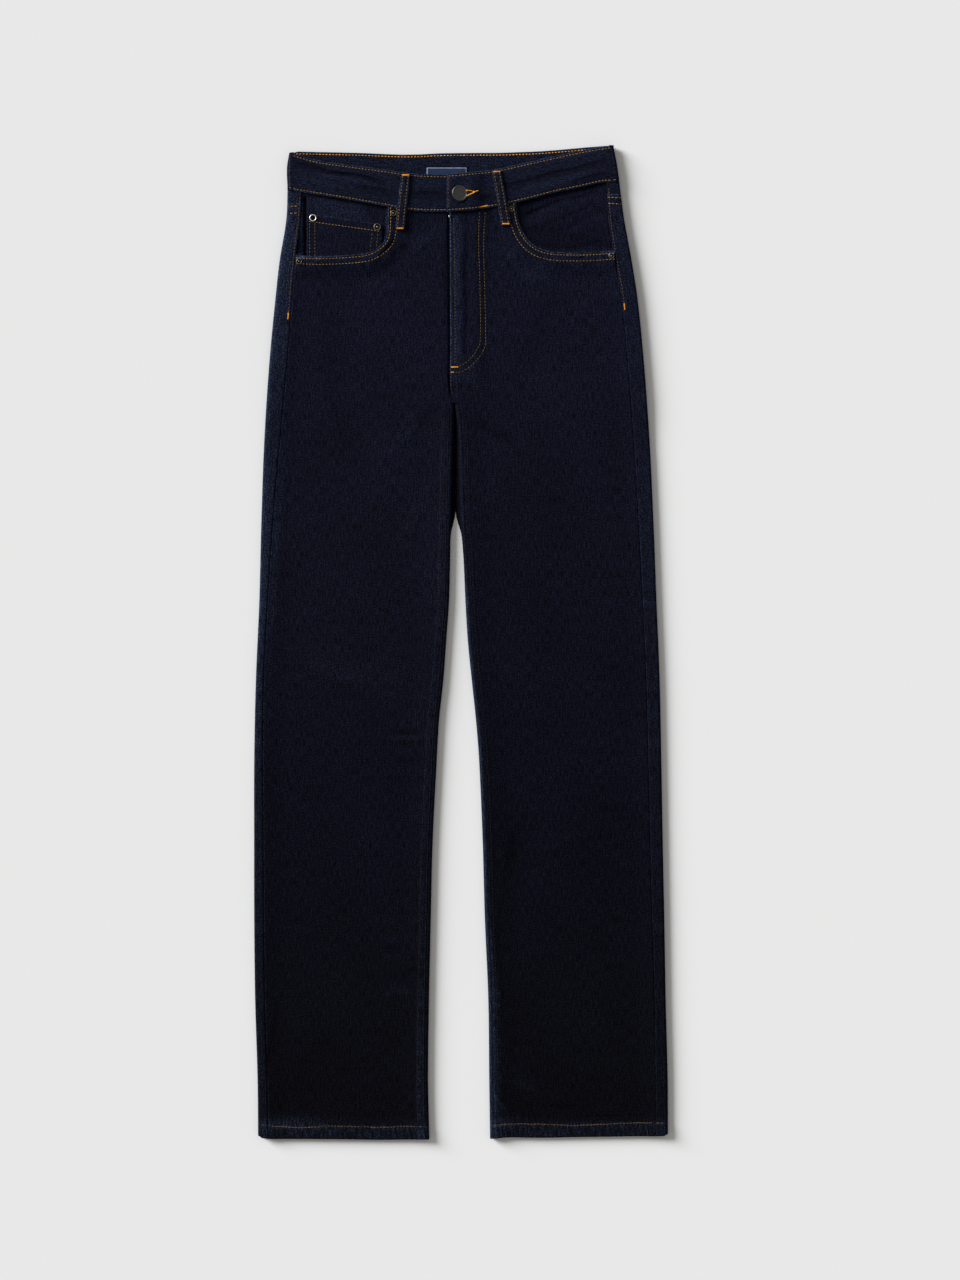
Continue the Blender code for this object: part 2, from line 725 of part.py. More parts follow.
def band_section(t):
    """Points (x, up, z) round the back waistband at one height between its foot and its top."""
    left_up, right_up = band_corner("left", t), band_corner("right", t)
    left, right = EDGE["left"](left_up), EDGE["right"](right_up)
    top = REST + BAND_RISE
    left_arc = fold(left, 1, REST, BAND_RISE, FOLD_ANGLES)
    right_arc = fold(right, -1, REST, BAND_RISE, FOLD_ANGLES[::-1])
    points = [(left + BAND_SEAM_IN - SEAM / 2, left_up, top)]
    points += [(x, left_up, z) for x, z in left_arc]
    for n in range(1, BAND_UNDER_STEPS):
        x = mix(left_arc[-1][0], right_arc[0][0], n / BAND_UNDER_STEPS)
        points.append((x, mix(BAND_FOOT["back"](x), BAND_TOP["back"](x), t), REST))
    points += [(x, right_up, z) for x, z in right_arc]
    points.append((right - BAND_SEAM_IN + SEAM / 2, right_up, top))
    return points


def make_back_band():
    """The back waistband, with both ends wrapped up round the fold edges."""
    outer, inner = [], []
    for t in BAND_ROWS:
        section = band_section(t)
        inside = inset([(x, z) for x, _, z in section], -BAND)
        outer.append(section)
        inner.append([(x, point[1], z) for (x, z), point in zip(inside, section)])
    shell("waistband_back", outer, inner)


FACING_SEARCH = 0.25


def facing_floor(side, x):
    """Lower edge of a facing: the lowest level within reach of the pocket opening."""
    line = POCKET_LINE[side]
    up = min(point.up for point in line) - UNDERLAP
    while distance_to(line, x, up) > UNDERLAP:
        up += FACING_SEARCH
    return up


FACING_COLUMNS = 10
FACING_ROWS = (0.0, 0.25, 0.5, 0.75, 1.0)
FACING_SLACK = 0.5  # the facing's last column keeps this clear of its reach


def make_facing(side):
    """The denim inside a front pocket opening, running on a little under the front panel."""
    inward = INWARD[side]
    far = POCKET_LINE[side][-1].x + inward * (UNDERLAP - FACING_SLACK)
    near = SIDE_SEAM[side](POCKET_LINE[side][0].up - UNDERLAP)
    upper, lower = [], []
    for t in FACING_ROWS:
        upper_row, lower_row = [], []
        for n in range(FACING_COLUMNS + 1):
            across = sin(pi / 2 * n / FACING_COLUMNS)
            x = mix(near, far, across)
            up = mix(facing_floor(side, x), BAND_FOOT[side](x) - SEAM, t)
            x = mix(SIDE_SEAM[side](up) + inward * SEAM, far, across)
            up = mix(facing_floor(side, x), BAND_FOOT[side](x) - SEAM, t)
            top = base_top(side, x, up)
            upper_row.append((x, up, top))
            lower_row.append((x, up, top - CLOTH))
        upper.append(upper_row)
        lower.append(lower_row)
    shell("pocket_facing_" + side, upper, lower)


COIN_ROWS = (0.0, 0.3, 0.6, 1.0)
COIN_COLUMNS = 8


def make_coin_pocket():
    """The small pocket on the left facing, its lower edge under the front panel."""
    line = POCKET_LINE["left"]

    def opening_level(x):
        before = [p for p in line if p.x <= x][-1]
        after = [p for p in line if p.x > x][0]
        return mix(before.up, after.up, (x - before.x) / (after.x - before.x))

    upper, lower = [], []
    for t in COIN_ROWS:
        upper_row, lower_row = [], []
        for n in range(COIN_COLUMNS + 1):
            x = mix(COIN_LEFT, COIN_RIGHT, n / COIN_COLUMNS)
            high = mix(COIN_TOP_LEFT, COIN_TOP_RIGHT, n / COIN_COLUMNS)
            up = mix(opening_level(x) - COIN_UNDERLAP, high, t)
            low = base_top("left", x, up) + SEAM
            upper_row.append((x, up, low + CLOTH))
            lower_row.append((x, up, low))
        upper.append(upper_row)
        lower.append(lower_row)
    shell("coin_pocket", upper, lower)


def make_patch(side):
    """A patch pocket on the hidden side: straight sides and a shallow point."""
    x, half = PATCH_CENTRE[side], PATCH_WIDTH / 2
    narrow = half - PATCH_TAPER
    cut = PATCH_CORNER
    outline = [
        (x - half, PATCH_TOP),
        (x - narrow, PATCH_TOP - PATCH_SIDE + cut),
        (x - narrow + cut, PATCH_TOP - PATCH_SIDE),
        (x - cut, PATCH_TOP - PATCH_POINT + PATCH_BLUNT),
        (x + cut, PATCH_TOP - PATCH_POINT + PATCH_BLUNT),
        (x + narrow - cut, PATCH_TOP - PATCH_SIDE),
        (x + narrow, PATCH_TOP - PATCH_SIDE + cut),
        (x + half, PATCH_TOP),
    ]
    plate("back_pocket_" + side, outline, 0.0, CLOTH, "indigo_denim")


def make_back_loop(name, x):
    low, high = BACK_LOOP_ENDS
    half = LOOP_WIDTH / 2
    outline = [(x - half, low), (x + half, low), (x + half, high), (x - half, high)]
    plate("belt_loop_back_" + name, outline, 0.0, CLOTH, "indigo_denim")


def make_front_loop(side):
    """A belt loop over the front waistband, its lower end down on the front panel."""
    loop = FRONT_LOOPS[side]
    band_top = WAIST_Z + BAND + SEAM
    foot_level = BAND_FOOT[side](mix(loop.top_x, loop.foot_x, 0.65))
    low_z = front_top(side, loop.foot_x, loop.foot) + SEAM
    landing = foot_level - LOOP_STEP[1]
    between = mix(landing, loop.foot, 0.5)
    stations = [
        (loop.top, band_top),
        (mix(loop.top, foot_level, 0.5), band_top + LOOP_BELLY),
        (foot_level - LOOP_STEP[0], band_top),
        (landing, front_top(side, loop.foot_x, landing) + SEAM + LOOP_EASE),
        (between, front_top(side, loop.foot_x, between) + SEAM + LOOP_EASE),
        (loop.foot, low_z + LOOP_EASE),
    ]
    half = LOOP_WIDTH / 2
    upper, lower = [], []
    for up, z in stations:
        x = mix(loop.foot_x, loop.top_x, (up - loop.foot) / (loop.top - loop.foot))
        upper.append([(x + offset, up, z + LOOP) for offset in (-half, 0, half)])
        lower.append([(x + offset, up, z) for offset in (-half, 0, half)])
    shell("belt_loop_front_" + side, upper, lower)


def make_rivets():
    """Open-top rivets: a rolled rim round a sunk middle with a small nub."""
    r = RIVET_RADIUS
    profile = [(r * a, RIVET_HEIGHT * b) for a, b in RIVET_SECTION]
    for name, at in RIVETS.items():
        if "coin" in name:
            seat = base_top("left", at.x, at.up) + SEAM + CLOTH
        else:
            side = "left" if "left" in name else "right"
            corners = [(at.x + r * a, at.up + r * b) for a in (-1, 0, 1) for b in (-1, 0, 1)]
            seat = max(front_top(side, x, up) for x, up in corners)
        turned(name, at, seat + SEAM, profile, RIVET_SIDES, "antique_nickel")


def make_button():
    """A shank button: the shank stands on the left end of the waistband and passes through the hole."""
    shank = 2 * SEAM + BAND
    profile = [(0, 0), (SHANK_RADIUS, 0), (SHANK_RADIUS, shank)]
    profile += [(BUTTON_RADIUS * a, shank + BUTTON_HEIGHT * b) for a, b in BUTTON_SECTION]
    turned("waist_button", BUTTON, WAIST_Z + BAND + SEAM, profile, BUTTON_SIDES, "button_metal")


def block(name, corners, low, ply, finish_name):
    x0, up0, x1, up1 = corners
    outline = [(x0, up0), (x1, up0), (x1, up1), (x0, up1)]
    plate(name, outline, low, low + ply, finish_name)


def make_hidden_trims():
    """The label on the back waistband's inner face, and the zip and its slider behind the fly."""
    block("waist_label", LABEL, REST + BAND + SEAM, LABEL_PLY, "woven_label")
    zip_top = REST + LEG_RISE
    block("fly_zip", ZIP, zip_top - ZIP_PLY, ZIP_PLY, "zip_tape")
    block("zip_slider", SLIDER, zip_top - SLIDER_PLY, SLIDER_PLY, "antique_nickel")


def clear_scene():
    for thing in list(bpy.data.objects):
        bpy.data.objects.remove(thing)


def make_root():
    root = bpy.data.objects.new("jeans", None)
    root.empty_display_size = 0.1
    bpy.context.scene.collection.objects.link(root)
    return root


clear_scene()
JEANS = make_root()
for each_side in ("left", "right"):
    make_back(each_side)
    make_yoke(each_side)
    make_front(each_side)
    make_facing(each_side)
    make_patch(each_side)
    make_front_loop(each_side)
make_coin_pocket()
make_band("left", LEFT_BAND_END, 15)
cut_buttonhole(make_band("right", RIGHT_BAND_END, 18))
make_back_band()
for loop_name, loop_x in BACK_LOOPS.items():
    make_back_loop(loop_name, loop_x)
make_rivets()
make_button()
make_hidden_trims()
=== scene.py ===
"""Straight-cut jeans laid flat: cloth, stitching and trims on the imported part, with floor and light.

Garment sizes are in millimetres. "up" is the distance above the hem line, along +Y.
Left is -X, seen from above.
"""

from collections import namedtuple
from functools import partial
from math import cos, hypot, pi, radians, sin

import bmesh
import bpy
import numpy as np
from bpy.props import FloatProperty, FloatVectorProperty, PointerProperty
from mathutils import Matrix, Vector


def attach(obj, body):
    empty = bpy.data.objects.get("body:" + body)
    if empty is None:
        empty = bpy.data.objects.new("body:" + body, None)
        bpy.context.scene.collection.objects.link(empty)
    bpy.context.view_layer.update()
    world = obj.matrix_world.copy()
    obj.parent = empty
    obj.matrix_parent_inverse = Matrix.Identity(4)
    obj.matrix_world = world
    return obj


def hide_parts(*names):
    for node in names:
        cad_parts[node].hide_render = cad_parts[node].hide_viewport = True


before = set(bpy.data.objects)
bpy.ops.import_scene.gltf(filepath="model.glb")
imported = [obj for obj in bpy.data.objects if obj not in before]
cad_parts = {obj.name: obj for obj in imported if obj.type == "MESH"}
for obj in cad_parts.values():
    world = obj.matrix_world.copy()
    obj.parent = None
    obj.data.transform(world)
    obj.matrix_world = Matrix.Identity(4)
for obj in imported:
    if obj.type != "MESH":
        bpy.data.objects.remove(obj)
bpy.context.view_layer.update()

bl_info = {
    "name": "Laid-Flat Jeans",
    "version": (1, 0, 0),
    "blender": (4, 5, 0),
    "location": "3D View > Sidebar > Jeans",
    "description": "Denim jeans with topstitching, rivets and a shank button, on a pale floor",
    "category": "Object",
}

MM = 0.001

# Sizes of the cloth and the trims.
LENGTH = 1063.5  # hem to the highest point of the waist
CLOTH = 1.2  # one ply of denim
FINE_CLOTH = 1.0  # the same between its rolled and puckered faces
THIN_CLOTH = 0.8  # the same in a pocket facing, which lies between two others
BAND = 2.6  # the waistband, two plies pressed together
LOOP = 1.7  # a belt loop, folded and pressed
SEAM = 0.3  # gap between two pieces, at a seam or where one lies on another
LEG_RISE = 4.2  # height of a flattened leg over its middle
FOLD_RISE = 5.6  # the same at a fold edge, where the cloth springs up
FOLD_CREST = 5.0
FOLD_REACH = 34.0
HEM_DEPTH = 13.0
HEM_MIDDLE = 8.0
HEM_PLY = 0.9
HEM_LIFT = (0.0, 0.6, 2.0, 3.0, 3.4, 3.0, 2.0, 1.0, 0.4)
LAP = 1.7  # how far a panel stands up where it lies over another
LAP_FLAT = 11.0
LAP_REACH = 28.0
WAIST_Z = 5.8  # underside of the front waistband
BAND_RISE = 6.9  # height of the waistband's fold edges
REST = CLOTH + SEAM
REST_FROM = 742.0
REST_FULL = 802.0

CROTCH = 787.0
CENTRE_TORSO = -8.3
CENTRE_LEGS = -5.9
INSEAM_IN = 4.2

# Level, left edge, left side seam, right side seam, right edge.
SIDES = [
    (0, -217.3, -206.1, 208.3, 221.6), (64, -217.9, -207.4, 208.1, 221.3),
    (149, -220.5, -210.0, 207.0, 219.2), (235, -221.5, -211.0, 204.5, 217.7),
    (320, -221.6, -211.5, 202.2, 216.0), (406, -221.5, -212.2, 200.4, 214.5),
    (492, -219.7, -211.1, 198.1, 212.7), (577, -216.0, -206.9, 194.4, 209.3),
    (663, -213.8, -201.2, 189.9, 206.0), (748, -210.7, -193.7, 184.8, 201.9),
    (834, -205.0, -185.8, 177.9, 195.6), (898, -198.9, -181.0, 171.6, 189.2),
    (941, -194.1, -177.2, 164.4, 182.6), (984, -187.1, -171.6, 157.5, 174.8),
    (1016, -185.8, -169.6, 155.6, 170.5), (1040, -186.3, -167.4, 154.0, 167.5),
    (1061, -182.8, -165.0, 153.8, 163.5),
]

# Level, and the inner edges of the left and the right leg.
INNER = [
    (0, -33.9, 31.1), (64, -35.3, 30.2), (149, -34.3, 29.2), (235, -32.4, 25.5), (320, -30.3, 23.1),
    (406, -26.0, 19.3), (449, -23.5, 15.9), (492, -18.9, 11.4), (534, -15.8, 7.2), (577, -12.8, 4.6),
    (620, -11.7, 2.7), (652, -11.2, 0.5), (716, -9.7, -1.8), (759, -8.5, -3.1), (787, -7.7, -6.9),
]
SPREAD_FROM = 640.0
SPREAD_FULL = 674.0

# Across, top edge, foot edge: of the front waistband, which dips at the middle, and of the back waistband.
BAND_LEFT = [
    (-186.5, 1057.2, 1016.1), (-157.2, 1048.3, 1011.3), (-120.3, 1042.7, 1005.3), (-83.5, 1037.8, 999.0),
    (-51.5, 1033.5, 993.5), (-22.0, 1032.3, 992.5), (9.3, 1032.9, 993.7),
]
BAND_RIGHT = [
    (-15.2, 1032.3, 992.0), (9.3, 1034.4, 993.8), (30.4, 1036.8, 996.7), (45.5, 1039.5, 999.4),
    (72.8, 1045.7, 1005.8), (100.0, 1051.8, 1012.8), (127.3, 1057.7, 1018.5), (150.5, 1061.8, 1023.5),
    (167.7, 1064.1, 1024.4),
]
BAND_BACK = [
    (-186.5, 1057.6, 1016.1), (-151.2, 1056.9, 1016.1), (-108.4, 1055.9, 1016.2), (-65.6, 1054.2, 1016.2),
    (-44.0, 1054.4, 1016.3), (-22.8, 1055.5, 1016.4), (20.0, 1056.0, 1017.0), (41.4, 1056.1, 1017.6),
    (62.8, 1056.8, 1018.4), (84.2, 1057.7, 1019.4), (105.6, 1059.3, 1020.5), (140.5, 1062.4, 1023.0),
    (167.7, 1064.4, 1024.4),
]
BAND_SEAM_IN = 5.3
LEFT_BAND_END = 9.3
RIGHT_BAND_END = -15.2
BAND_STEP = (11.0, 30.0)
BAND_CORNER_X = {"left": -182.0, "right": 163.0}

YOKE_SIDE = {"left": 1000.5, "right": 1010.1}
YOKE_CENTRE = 965.7

# The fly: level, the right front's edge, and the left front's edge under it.
FLY = [
    (787, -7.1, -7.4), (798, -10.4, -10.7), (818, -11.7, -12.0), (832, -11.4, -7.0), (850, -11.3, -2.5),
    (930, -11.7, -2.5), (994, -12.1, -2.5),
]
FLY_TOP = 990.0
FLY_FADE = (800.0, 819.0)
FLY_REACH = (14.0, 32.0)
SIDE_TOP = 0.67  # how far up the side seam, from the seat to the yoke, the pocket opening starts

# Front pocket openings, from the side seam round to the waistband.
POCKET_LEFT = [
    (-176.6, 945.6), (-150.0, 944.8), (-120.3, 946.0), (-98.2, 949.1), (-83.5, 958.9), (-78.5, 971.2),
    (-77.9, 997.6),
]
POCKET_RIGHT = [
    (164.4, 950.8), (142.0, 949.2), (120.5, 948.7), (94.6, 950.1), (78.2, 956.2), (67.3, 968.5),
    (61.1, 984.8), (59.1, 1002.2),
]
UNDERLAP = 7.0

COIN_LEFT = -164.5
COIN_RIGHT = -84.6
COIN_TOP_LEFT = 990.8
COIN_TOP_RIGHT = 979.2
COIN_UNDERLAP = 5.0
COIN_LIFT_START = (COIN_LEFT - 14.0, COIN_LEFT - 3.0)
COIN_LIFT_END = (COIN_RIGHT + 6.0, COIN_RIGHT + 16.0)

PATCH_WIDTH = 128.0
PATCH_SIDE = 118.0
PATCH_POINT = 138.0
PATCH_TOP = 948.0
PATCH_CENTRE = {"left": -100.0, "right": 84.0}
PATCH_TAPER = 5.0

LOOP_WIDTH = 10.0
BACK_LOOPS = {"left": -104.0, "centre": CENTRE_TORSO, "right": 88.0}
BACK_LOOP_ENDS = (985.0, 1052.0)
Point = namedtuple("Point", "x up")
Loop = namedtuple("Loop", "top_x top foot_x foot")
FRONT_LOOPS = {"left": Loop(-58.9, 1033.0, -65.3, 972.8), "right": Loop(37.9, 1036.6, 48.1, 977.6)}
LOOP_BELLY = 0.4
LOOP_STEP = (1.5, 8.0)
LOOP_EASE = 0.25
RIVETS = {
    "rivet_left_waist": Point(-72.3, 990.8),
    "rivet_left_side": Point(-173.0, 939.2),
    "rivet_right_waist": Point(54.2, 995.6),
    "rivet_right_side": Point(160.8, 945.2),
    "rivet_coin_left": Point(-158.4, 985.9),
    "rivet_coin_right": Point(-89.6, 976.2),
}
BUTTON = Point(-1.1, 1012.9)
LABEL = (-36.7, 1018.1, 6.1, 1040.0)

INWARD = {"left": 1, "right": -1}
HEM = {"left": 0.0, "right": 2.4}
SIDE_NAMES = ("left", "right")


def linear(code):
    """An sRGB hex colour as linear red, green and blue."""
    parts = [int(code[i : i + 2], 16) / 255 for i in (1, 3, 5)]
    return tuple(c / 12.92 if c <= 0.04045 else ((c + 0.055) / 1.055) ** 2.4 for c in parts)


# Shapes in one dimension and in the plane.


def smooth(start, end, value):
    """0 before start, 1 after end, with a soft passage between them."""
    t = np.clip((value - start) / (end - start), 0.0, 1.0)
    return t * t * (3 - 2 * t)


def mix(a, b, t):
    return a + (b - a) * t


def bell(distance, width):
    """1 at no distance, falling softly to 0 within about twice the width."""
    return np.exp(-((distance / width) ** 2))


def ripple(along, length, seed):
    """Uneven waves of about the given length, between -1 and 1."""
    turn = 2 * pi * along / length
    slow, quick = np.sin(0.61 * turn + 0.8 * seed + 2), np.sin(1.37 * turn + 2.9 * seed + 1)
    return (np.sin(turn + 1.7 * seed) + 0.7 * quick + 0.6 * slow) / 2.3


def curve(rows, column):
    """A smooth function through one column of a table, read against the table's first column."""
    points = sorted((row[0], row[column]) for row in rows)
    last = len(points) - 1
    ats, values = [], []
    for i in range(last):
        (x0, y0), (x1, y1) = points[i], points[i + 1]
        before, after = points[max(i - 1, 0)], points[min(i + 2, last)]
        width = x1 - x0
        start = (y1 - before[1]) / (x1 - before[0]) * width
        end = (after[1] - y0) / (after[0] - x0) * width
        t = np.linspace(0, 1, 24, endpoint=i == last - 1)
        rise = (2 * t - 3) * t * t
        ats.append(x0 + width * t)
        values.append(y0 * (rise + 1) - y1 * rise + start * t * (1 - t) ** 2 - end * t * t * (1 - t))
    ats, values = np.concatenate(ats), np.concatenate(values)
    return lambda at: np.interp(at, ats, values)


EDGE = {"left": curve(SIDES, 1), "right": curve(SIDES, 4)}
SIDE_SEAM = {"left": curve(SIDES, 2), "right": curve(SIDES, 3)}
INNER_EDGE = {"left": curve(INNER, 1), "right": curve(INNER, 2)}
FLY_EDGE = {"left": curve(FLY, 2), "right": curve(FLY, 1)}
BANDS = {"left": BAND_LEFT, "right": BAND_RIGHT, "back": BAND_BACK}
BAND_TOP = {name: curve(rows, 1) for name, rows in BANDS.items()}
BAND_FOOT = {name: curve(rows, 2) for name, rows in BANDS.items()}


def unit(vectors):
    """Vectors, each made one long."""
    return vectors / np.linalg.norm(vectors, axis=-1, keepdims=True)


def reached(line):
    """How far along a line each of its points is."""
    return np.concatenate([[0], np.cumsum(np.linalg.norm(np.diff(line, axis=0), axis=1))])


def read(values, reach, at):
    """What goes with a line, such as its points or normals, read at some distances along it."""
    return np.stack([np.interp(at, reach, column) for column in values.T], axis=1)


def spaced(points, step):
    """Points about a step apart along the straight stretches between the given ones."""
    points = np.asarray(points, float)
    reach = reached(points)
    count = max(int(round(reach[-1] / step)), 1)
    return read(points, reach, np.linspace(0, reach[-1], count + 1))


def rounded(points, step):
    """Points about a step apart along a smooth line through the given ones."""
    points = np.asarray(points, float)
    fine = []
    last = len(points) - 1
    for i in range(last):
        before, after = points[max(i - 1, 0)], points[min(i + 2, last)]
        a, b = points[i], points[i + 1]
        for t in np.arange(0, 1, 0.0625):
            bend = (2 * before - 5 * a + 4 * b - after) * t * t + (3 * a - before - 3 * b + after) * t**3
            fine.append(0.5 * (2 * a + (b - before) * t + bend))
    fine.append(points[-1])
    return spaced(fine, step)


def offset(line, distance):
    """A line moved sideways: to its right as it is walked, for a distance above 0."""
    ahead = unit(np.gradient(line, axis=0))
    return line + distance * np.stack([ahead[:, 1], -ahead[:, 0]], axis=1)


def nearest(line, x, up):
    """Distance from each point to a line, and how far along the line it is met."""
    best = np.full(np.shape(x), 1e9)
    met = np.zeros(np.shape(x))
    run = 0.0
    for a, b in zip(line, line[1:]):
        dx, dy = b[0] - a[0], b[1] - a[1]
        length = hypot(dx, dy)
        t = np.clip(((x - a[0]) * dx + (up - a[1]) * dy) / length**2, 0, 1)
        distance = np.hypot(x - a[0] - dx * t, up - a[1] - dy * t)
        closer = distance < best
        met = np.where(closer, run + t * length, met)
        best = np.where(closer, distance, best)
        run += length
    return best, met


POCKET_LINE = {"left": rounded(POCKET_LEFT, 3.5), "right": rounded(POCKET_RIGHT, 3.5)}


# The form of the garment, as the part's solids have it.


def centre(up):
    return mix(CENTRE_LEGS, CENTRE_TORSO, smooth(745, 830, up))


def rest(up):
    """Height of the back panels' underside over the surface."""
    return REST * smooth(REST_FROM, REST_FULL, up)


def hem_ply(side, up):
    return HEM_PLY * (1 - smooth(HEM_DEPTH - 0.2, HEM_DEPTH + 1.2, up - HEM[side]))


def base_top(side, x, up):
    """The upper face of the flattened garment before anything laps over it."""
    reach = np.abs(x - EDGE[side](up))
    legs = np.abs(x - INNER_EDGE[side](up))
    fork = np.hypot(x - centre(CROTCH), up - CROTCH)
    reach = np.minimum(reach, np.where(up < CROTCH, legs, fork))
    sunk = smooth(FOLD_CREST, FOLD_REACH, reach)
    return rest(up) + mix(FOLD_RISE, LEG_RISE, sunk) + hem_ply(side, up)


def front_top(side, x, up):
    """The upper face of a front panel, which laps over the pocket facing and the zip."""
    reach = nearest(POCKET_LINE[side], x, up)[0]
    top = base_top(side, x, up) + LAP * (1 - smooth(LAP_FLAT, LAP_REACH, reach))
    if side == "left":
        beside = smooth(*COIN_LIFT_START, x) * (1 - smooth(*COIN_LIFT_END, x))
        return top + REST * beside * (1 - smooth(LAP_FLAT - 2, LAP_REACH, reach))
    return top + LAP * smooth(*FLY_FADE, up) * (1 - smooth(*FLY_REACH, x))


def band_lift(side, x):
    """How far the waistband stands up: its right end lies over its left end."""
    return (BAND + SEAM) * (1 - smooth(*BAND_STEP, x)) if side == "right" else 0.0 * x


def band_corner(side, t):
    x = BAND_CORNER_X[side]
    return mix(BAND_FOOT[side](x), BAND_TOP[side](x), t)


# Stitch rows in the plane.

ROW_STEP = 1.2
POCKET_ROWS = (2.7, 8.9)  # from the pocket opening's edge
BAND_TOP_ROW = 2.6  # from the waistband's top edge
BAND_FOOT_ROW = 2.0
BAND_END_ROW = 1.9  # from the right band's overlapping end
SIDE_ROW = 2.5  # the topstitch beside the side seam
TACK_LEVEL = {"left": (877.5, 884.4), "right": (887.5, 894.4)}
INSEAM_ROWS = {"left": (1.2, 7.6), "right": (-1.6, 4.9)}  # from the inseam, on the front panel
HEM_ROWS = {
    "left": [(-218.0, 14.8), (-172.6, 12.1), (-142.0, 14.0), (-78.0, 13.4), (-58.0, 14.4), (-34.0, 13.4)],
    "right": [
        (31.0, 15.6), (46.8, 16.7), (84.0, 17.0), (121.7, 14.8), (159.0, 16.1), (184.0, 16.8), (221.6, 16.8),
    ],
}

FLY_ROW = rounded([(-8.0, 986.0), (-6.5, 916.2), (-6.4, 829.8)], ROW_STEP)
J_INNER = rounded(
    [
        (19.9, 992.4), (18.7, 961.4), (20.2, 915.4), (20.7, 858.7), (17.3, 845.4),
        (8.8, 834.1), (-2.0, 826.8),
    ],
    ROW_STEP,
)
J_OUTER = rounded(
    [
        (25.9, 992.4), (24.2, 958.6), (25.2, 915.7), (26.3, 858.4), (23.8, 844.0),
        (14.4, 831.1), (1.6, 821.8), (-10.0, 820.8),
    ],
    ROW_STEP,
)
CROTCH_ROW = rounded([(-4.9, 818.0), (-4.4, 804.0), (-4.2, 791.5)], ROW_STEP)


def side_line(side, low, high, sideways):
    """A line beside the side seam, a distance towards the outer edge of it."""
    up = np.arange(low, high, 4.0)
    return np.stack([SIDE_SEAM[side](up) - INWARD[side] * sideways, up], axis=1)


def inseam_line(side, low, high, inside):
    up = np.arange(low, high, 4.0)
    x = INNER_EDGE[side](up) - INWARD[side] * (INSEAM_IN + inside)
    return np.stack([x, up], axis=1)


def band_line(name, start, end, row):
    """A line along a waistband piece, so far over its foot edge (above 0) or under its top edge (below 0)."""
    x = np.linspace(start, end, 60)
    up = BAND_FOOT[name](x) + row if row > 0 else BAND_TOP[name](x) + row
    return np.stack([x, up], axis=1)


POCKET_SEWN = {
    side: [offset(POCKET_LINE[side], INWARD[side] * d) for d in POCKET_ROWS] for side in SIDE_NAMES
}


# Fine relief on the form.

# Creases: across and level of both ends, width, and height (a trough is below 0).
FRONT_CREASES = {
    "left": [
        (-76, 436, -43, 437, 2.8, -0.8), (-78, 428, -42, 428, 4, 0.5), (-74, 406, -46, 408, 4, -0.35),
        (-66, 174, -44, 187, 5, -0.6), (-84, 151, -52, 157, 5, 0.45), (-206, 70, -196, 150, 6, -0.35),
        (-92, 936, -70, 963, 3.2, -0.9), (-50, 953, -20, 973, 8, 0.5), (-76, 732, -39, 775, 6, 0.45),
        (-150, 900, -120, 720, 14, -0.3), (-60, 640, -28, 700, 8, 0.35), (-180, 520, -70, 470, 16, 0.3),
        (-17, 870, -15, 985, 4, -0.4), (-52, 762, -20, 788, 6, -0.5),
    ],
    "right": [
        (5.2, 829, 5.2, 983, 3.4, -0.6), (-0.5, 850, -0.5, 983, 4, 0.4), (-5, 888, 4, 895, 2.6, -0.6),
        (2, 813, 30, 800, 9, 0.5), (40, 937, 66, 944, 10, 0.45), (68, 913, 100, 925, 12, 0.5),
        (62, 541, 154, 544, 5, 0.4), (88, 303, 154, 334, 7, 0.45), (54, 278, 58, 336, 10, -0.6),
        (98, 393, 126, 407, 9, 0.45), (41, 122, 38, 257, 6, 0.45), (66, 41, 136, 33, 5, -0.35),
        (44, 63, 90, 48, 4.5, 0.25), (37, 48, 54, 27, 2.6, 0.6), (14, 770, 60, 742, 8, -0.45),
        (90, 900, 60, 800, 12, -0.3), (150, 720, 175, 640, 10, 0.3),
    ],
}
BAND_CREASES = {
    "left": [
        (-174, 1044, -120, 1031.5, 2.6, -0.8), (-138, 1035.5, -86, 1026.5, 2.3, -1.0),
        (-152, 1030, -92, 1020, 4.5, 0.6), (-172, 1026, -120, 1017, 4, 0.35),
        (-110, 1022, -72, 1012, 3, -0.4), (-50, 1012, -18, 1011, 3, -0.6), (-48, 1021, -16, 1020, 4, 0.4),
    ],
    "right": [
        (46, 1021, 108, 1034.5, 3, -0.5), (94, 1032, 152, 1047, 3.2, -0.45), (70, 1014, 142, 1031, 5, 0.55),
        (100, 1046, 150, 1056, 3, 0.35), (110, 1023, 156, 1033, 3, -0.5), (21, 1006, 34, 1009, 3, -0.5),
    ],
}
FACING_CREASES = {
    "left": [(-160, 1002, -90, 991, 4, -0.5), (-150, 996, -100, 988, 4, 0.3)],
    "right": [
        (62, 986, 98, 1001, 2.6, -1.0), (88, 999, 147, 1014.5, 2.8, -0.7), (66, 977, 152, 1004, 6, 0.7),
        (96, 971, 130, 981, 3, -0.35), (112, 953, 158, 962, 3.4, -0.5), (84, 958, 122, 952, 3.4, -0.6),
        (120, 985, 154, 990, 3, -0.25),
    ],
}


def creased(creases, x, up):
    """Troughs and ridges added up. Each is steep on the side turned from the window and fades at its ends."""
    height = np.zeros(np.shape(x))
    for x0, up0, x1, up1, width, depth in creases:
        dx, dy = x1 - x0, up1 - up0
        length = hypot(dx, dy)
        along = ((x - x0) * dx + (up - up0) * dy) / length
        across = ((x - x0) * dy - (up - up0) * dx) / length
        across = across + 0.3 * width * np.sin(along / (5 + 2 * width) + up0)
        across = across * np.sign(0.86 * dy + 0.5 * dx)
        reach = width * np.where(across * depth > 0, 0.45, 1.25)
        ends = smooth(-0.15 * length, 0.3 * length, along) * (1 - smooth(0.7 * length, 1.15 * length, along))
        height += depth * bell(across, reach) * ends
    return height * bpy.context.scene.jeans_cloth.creases


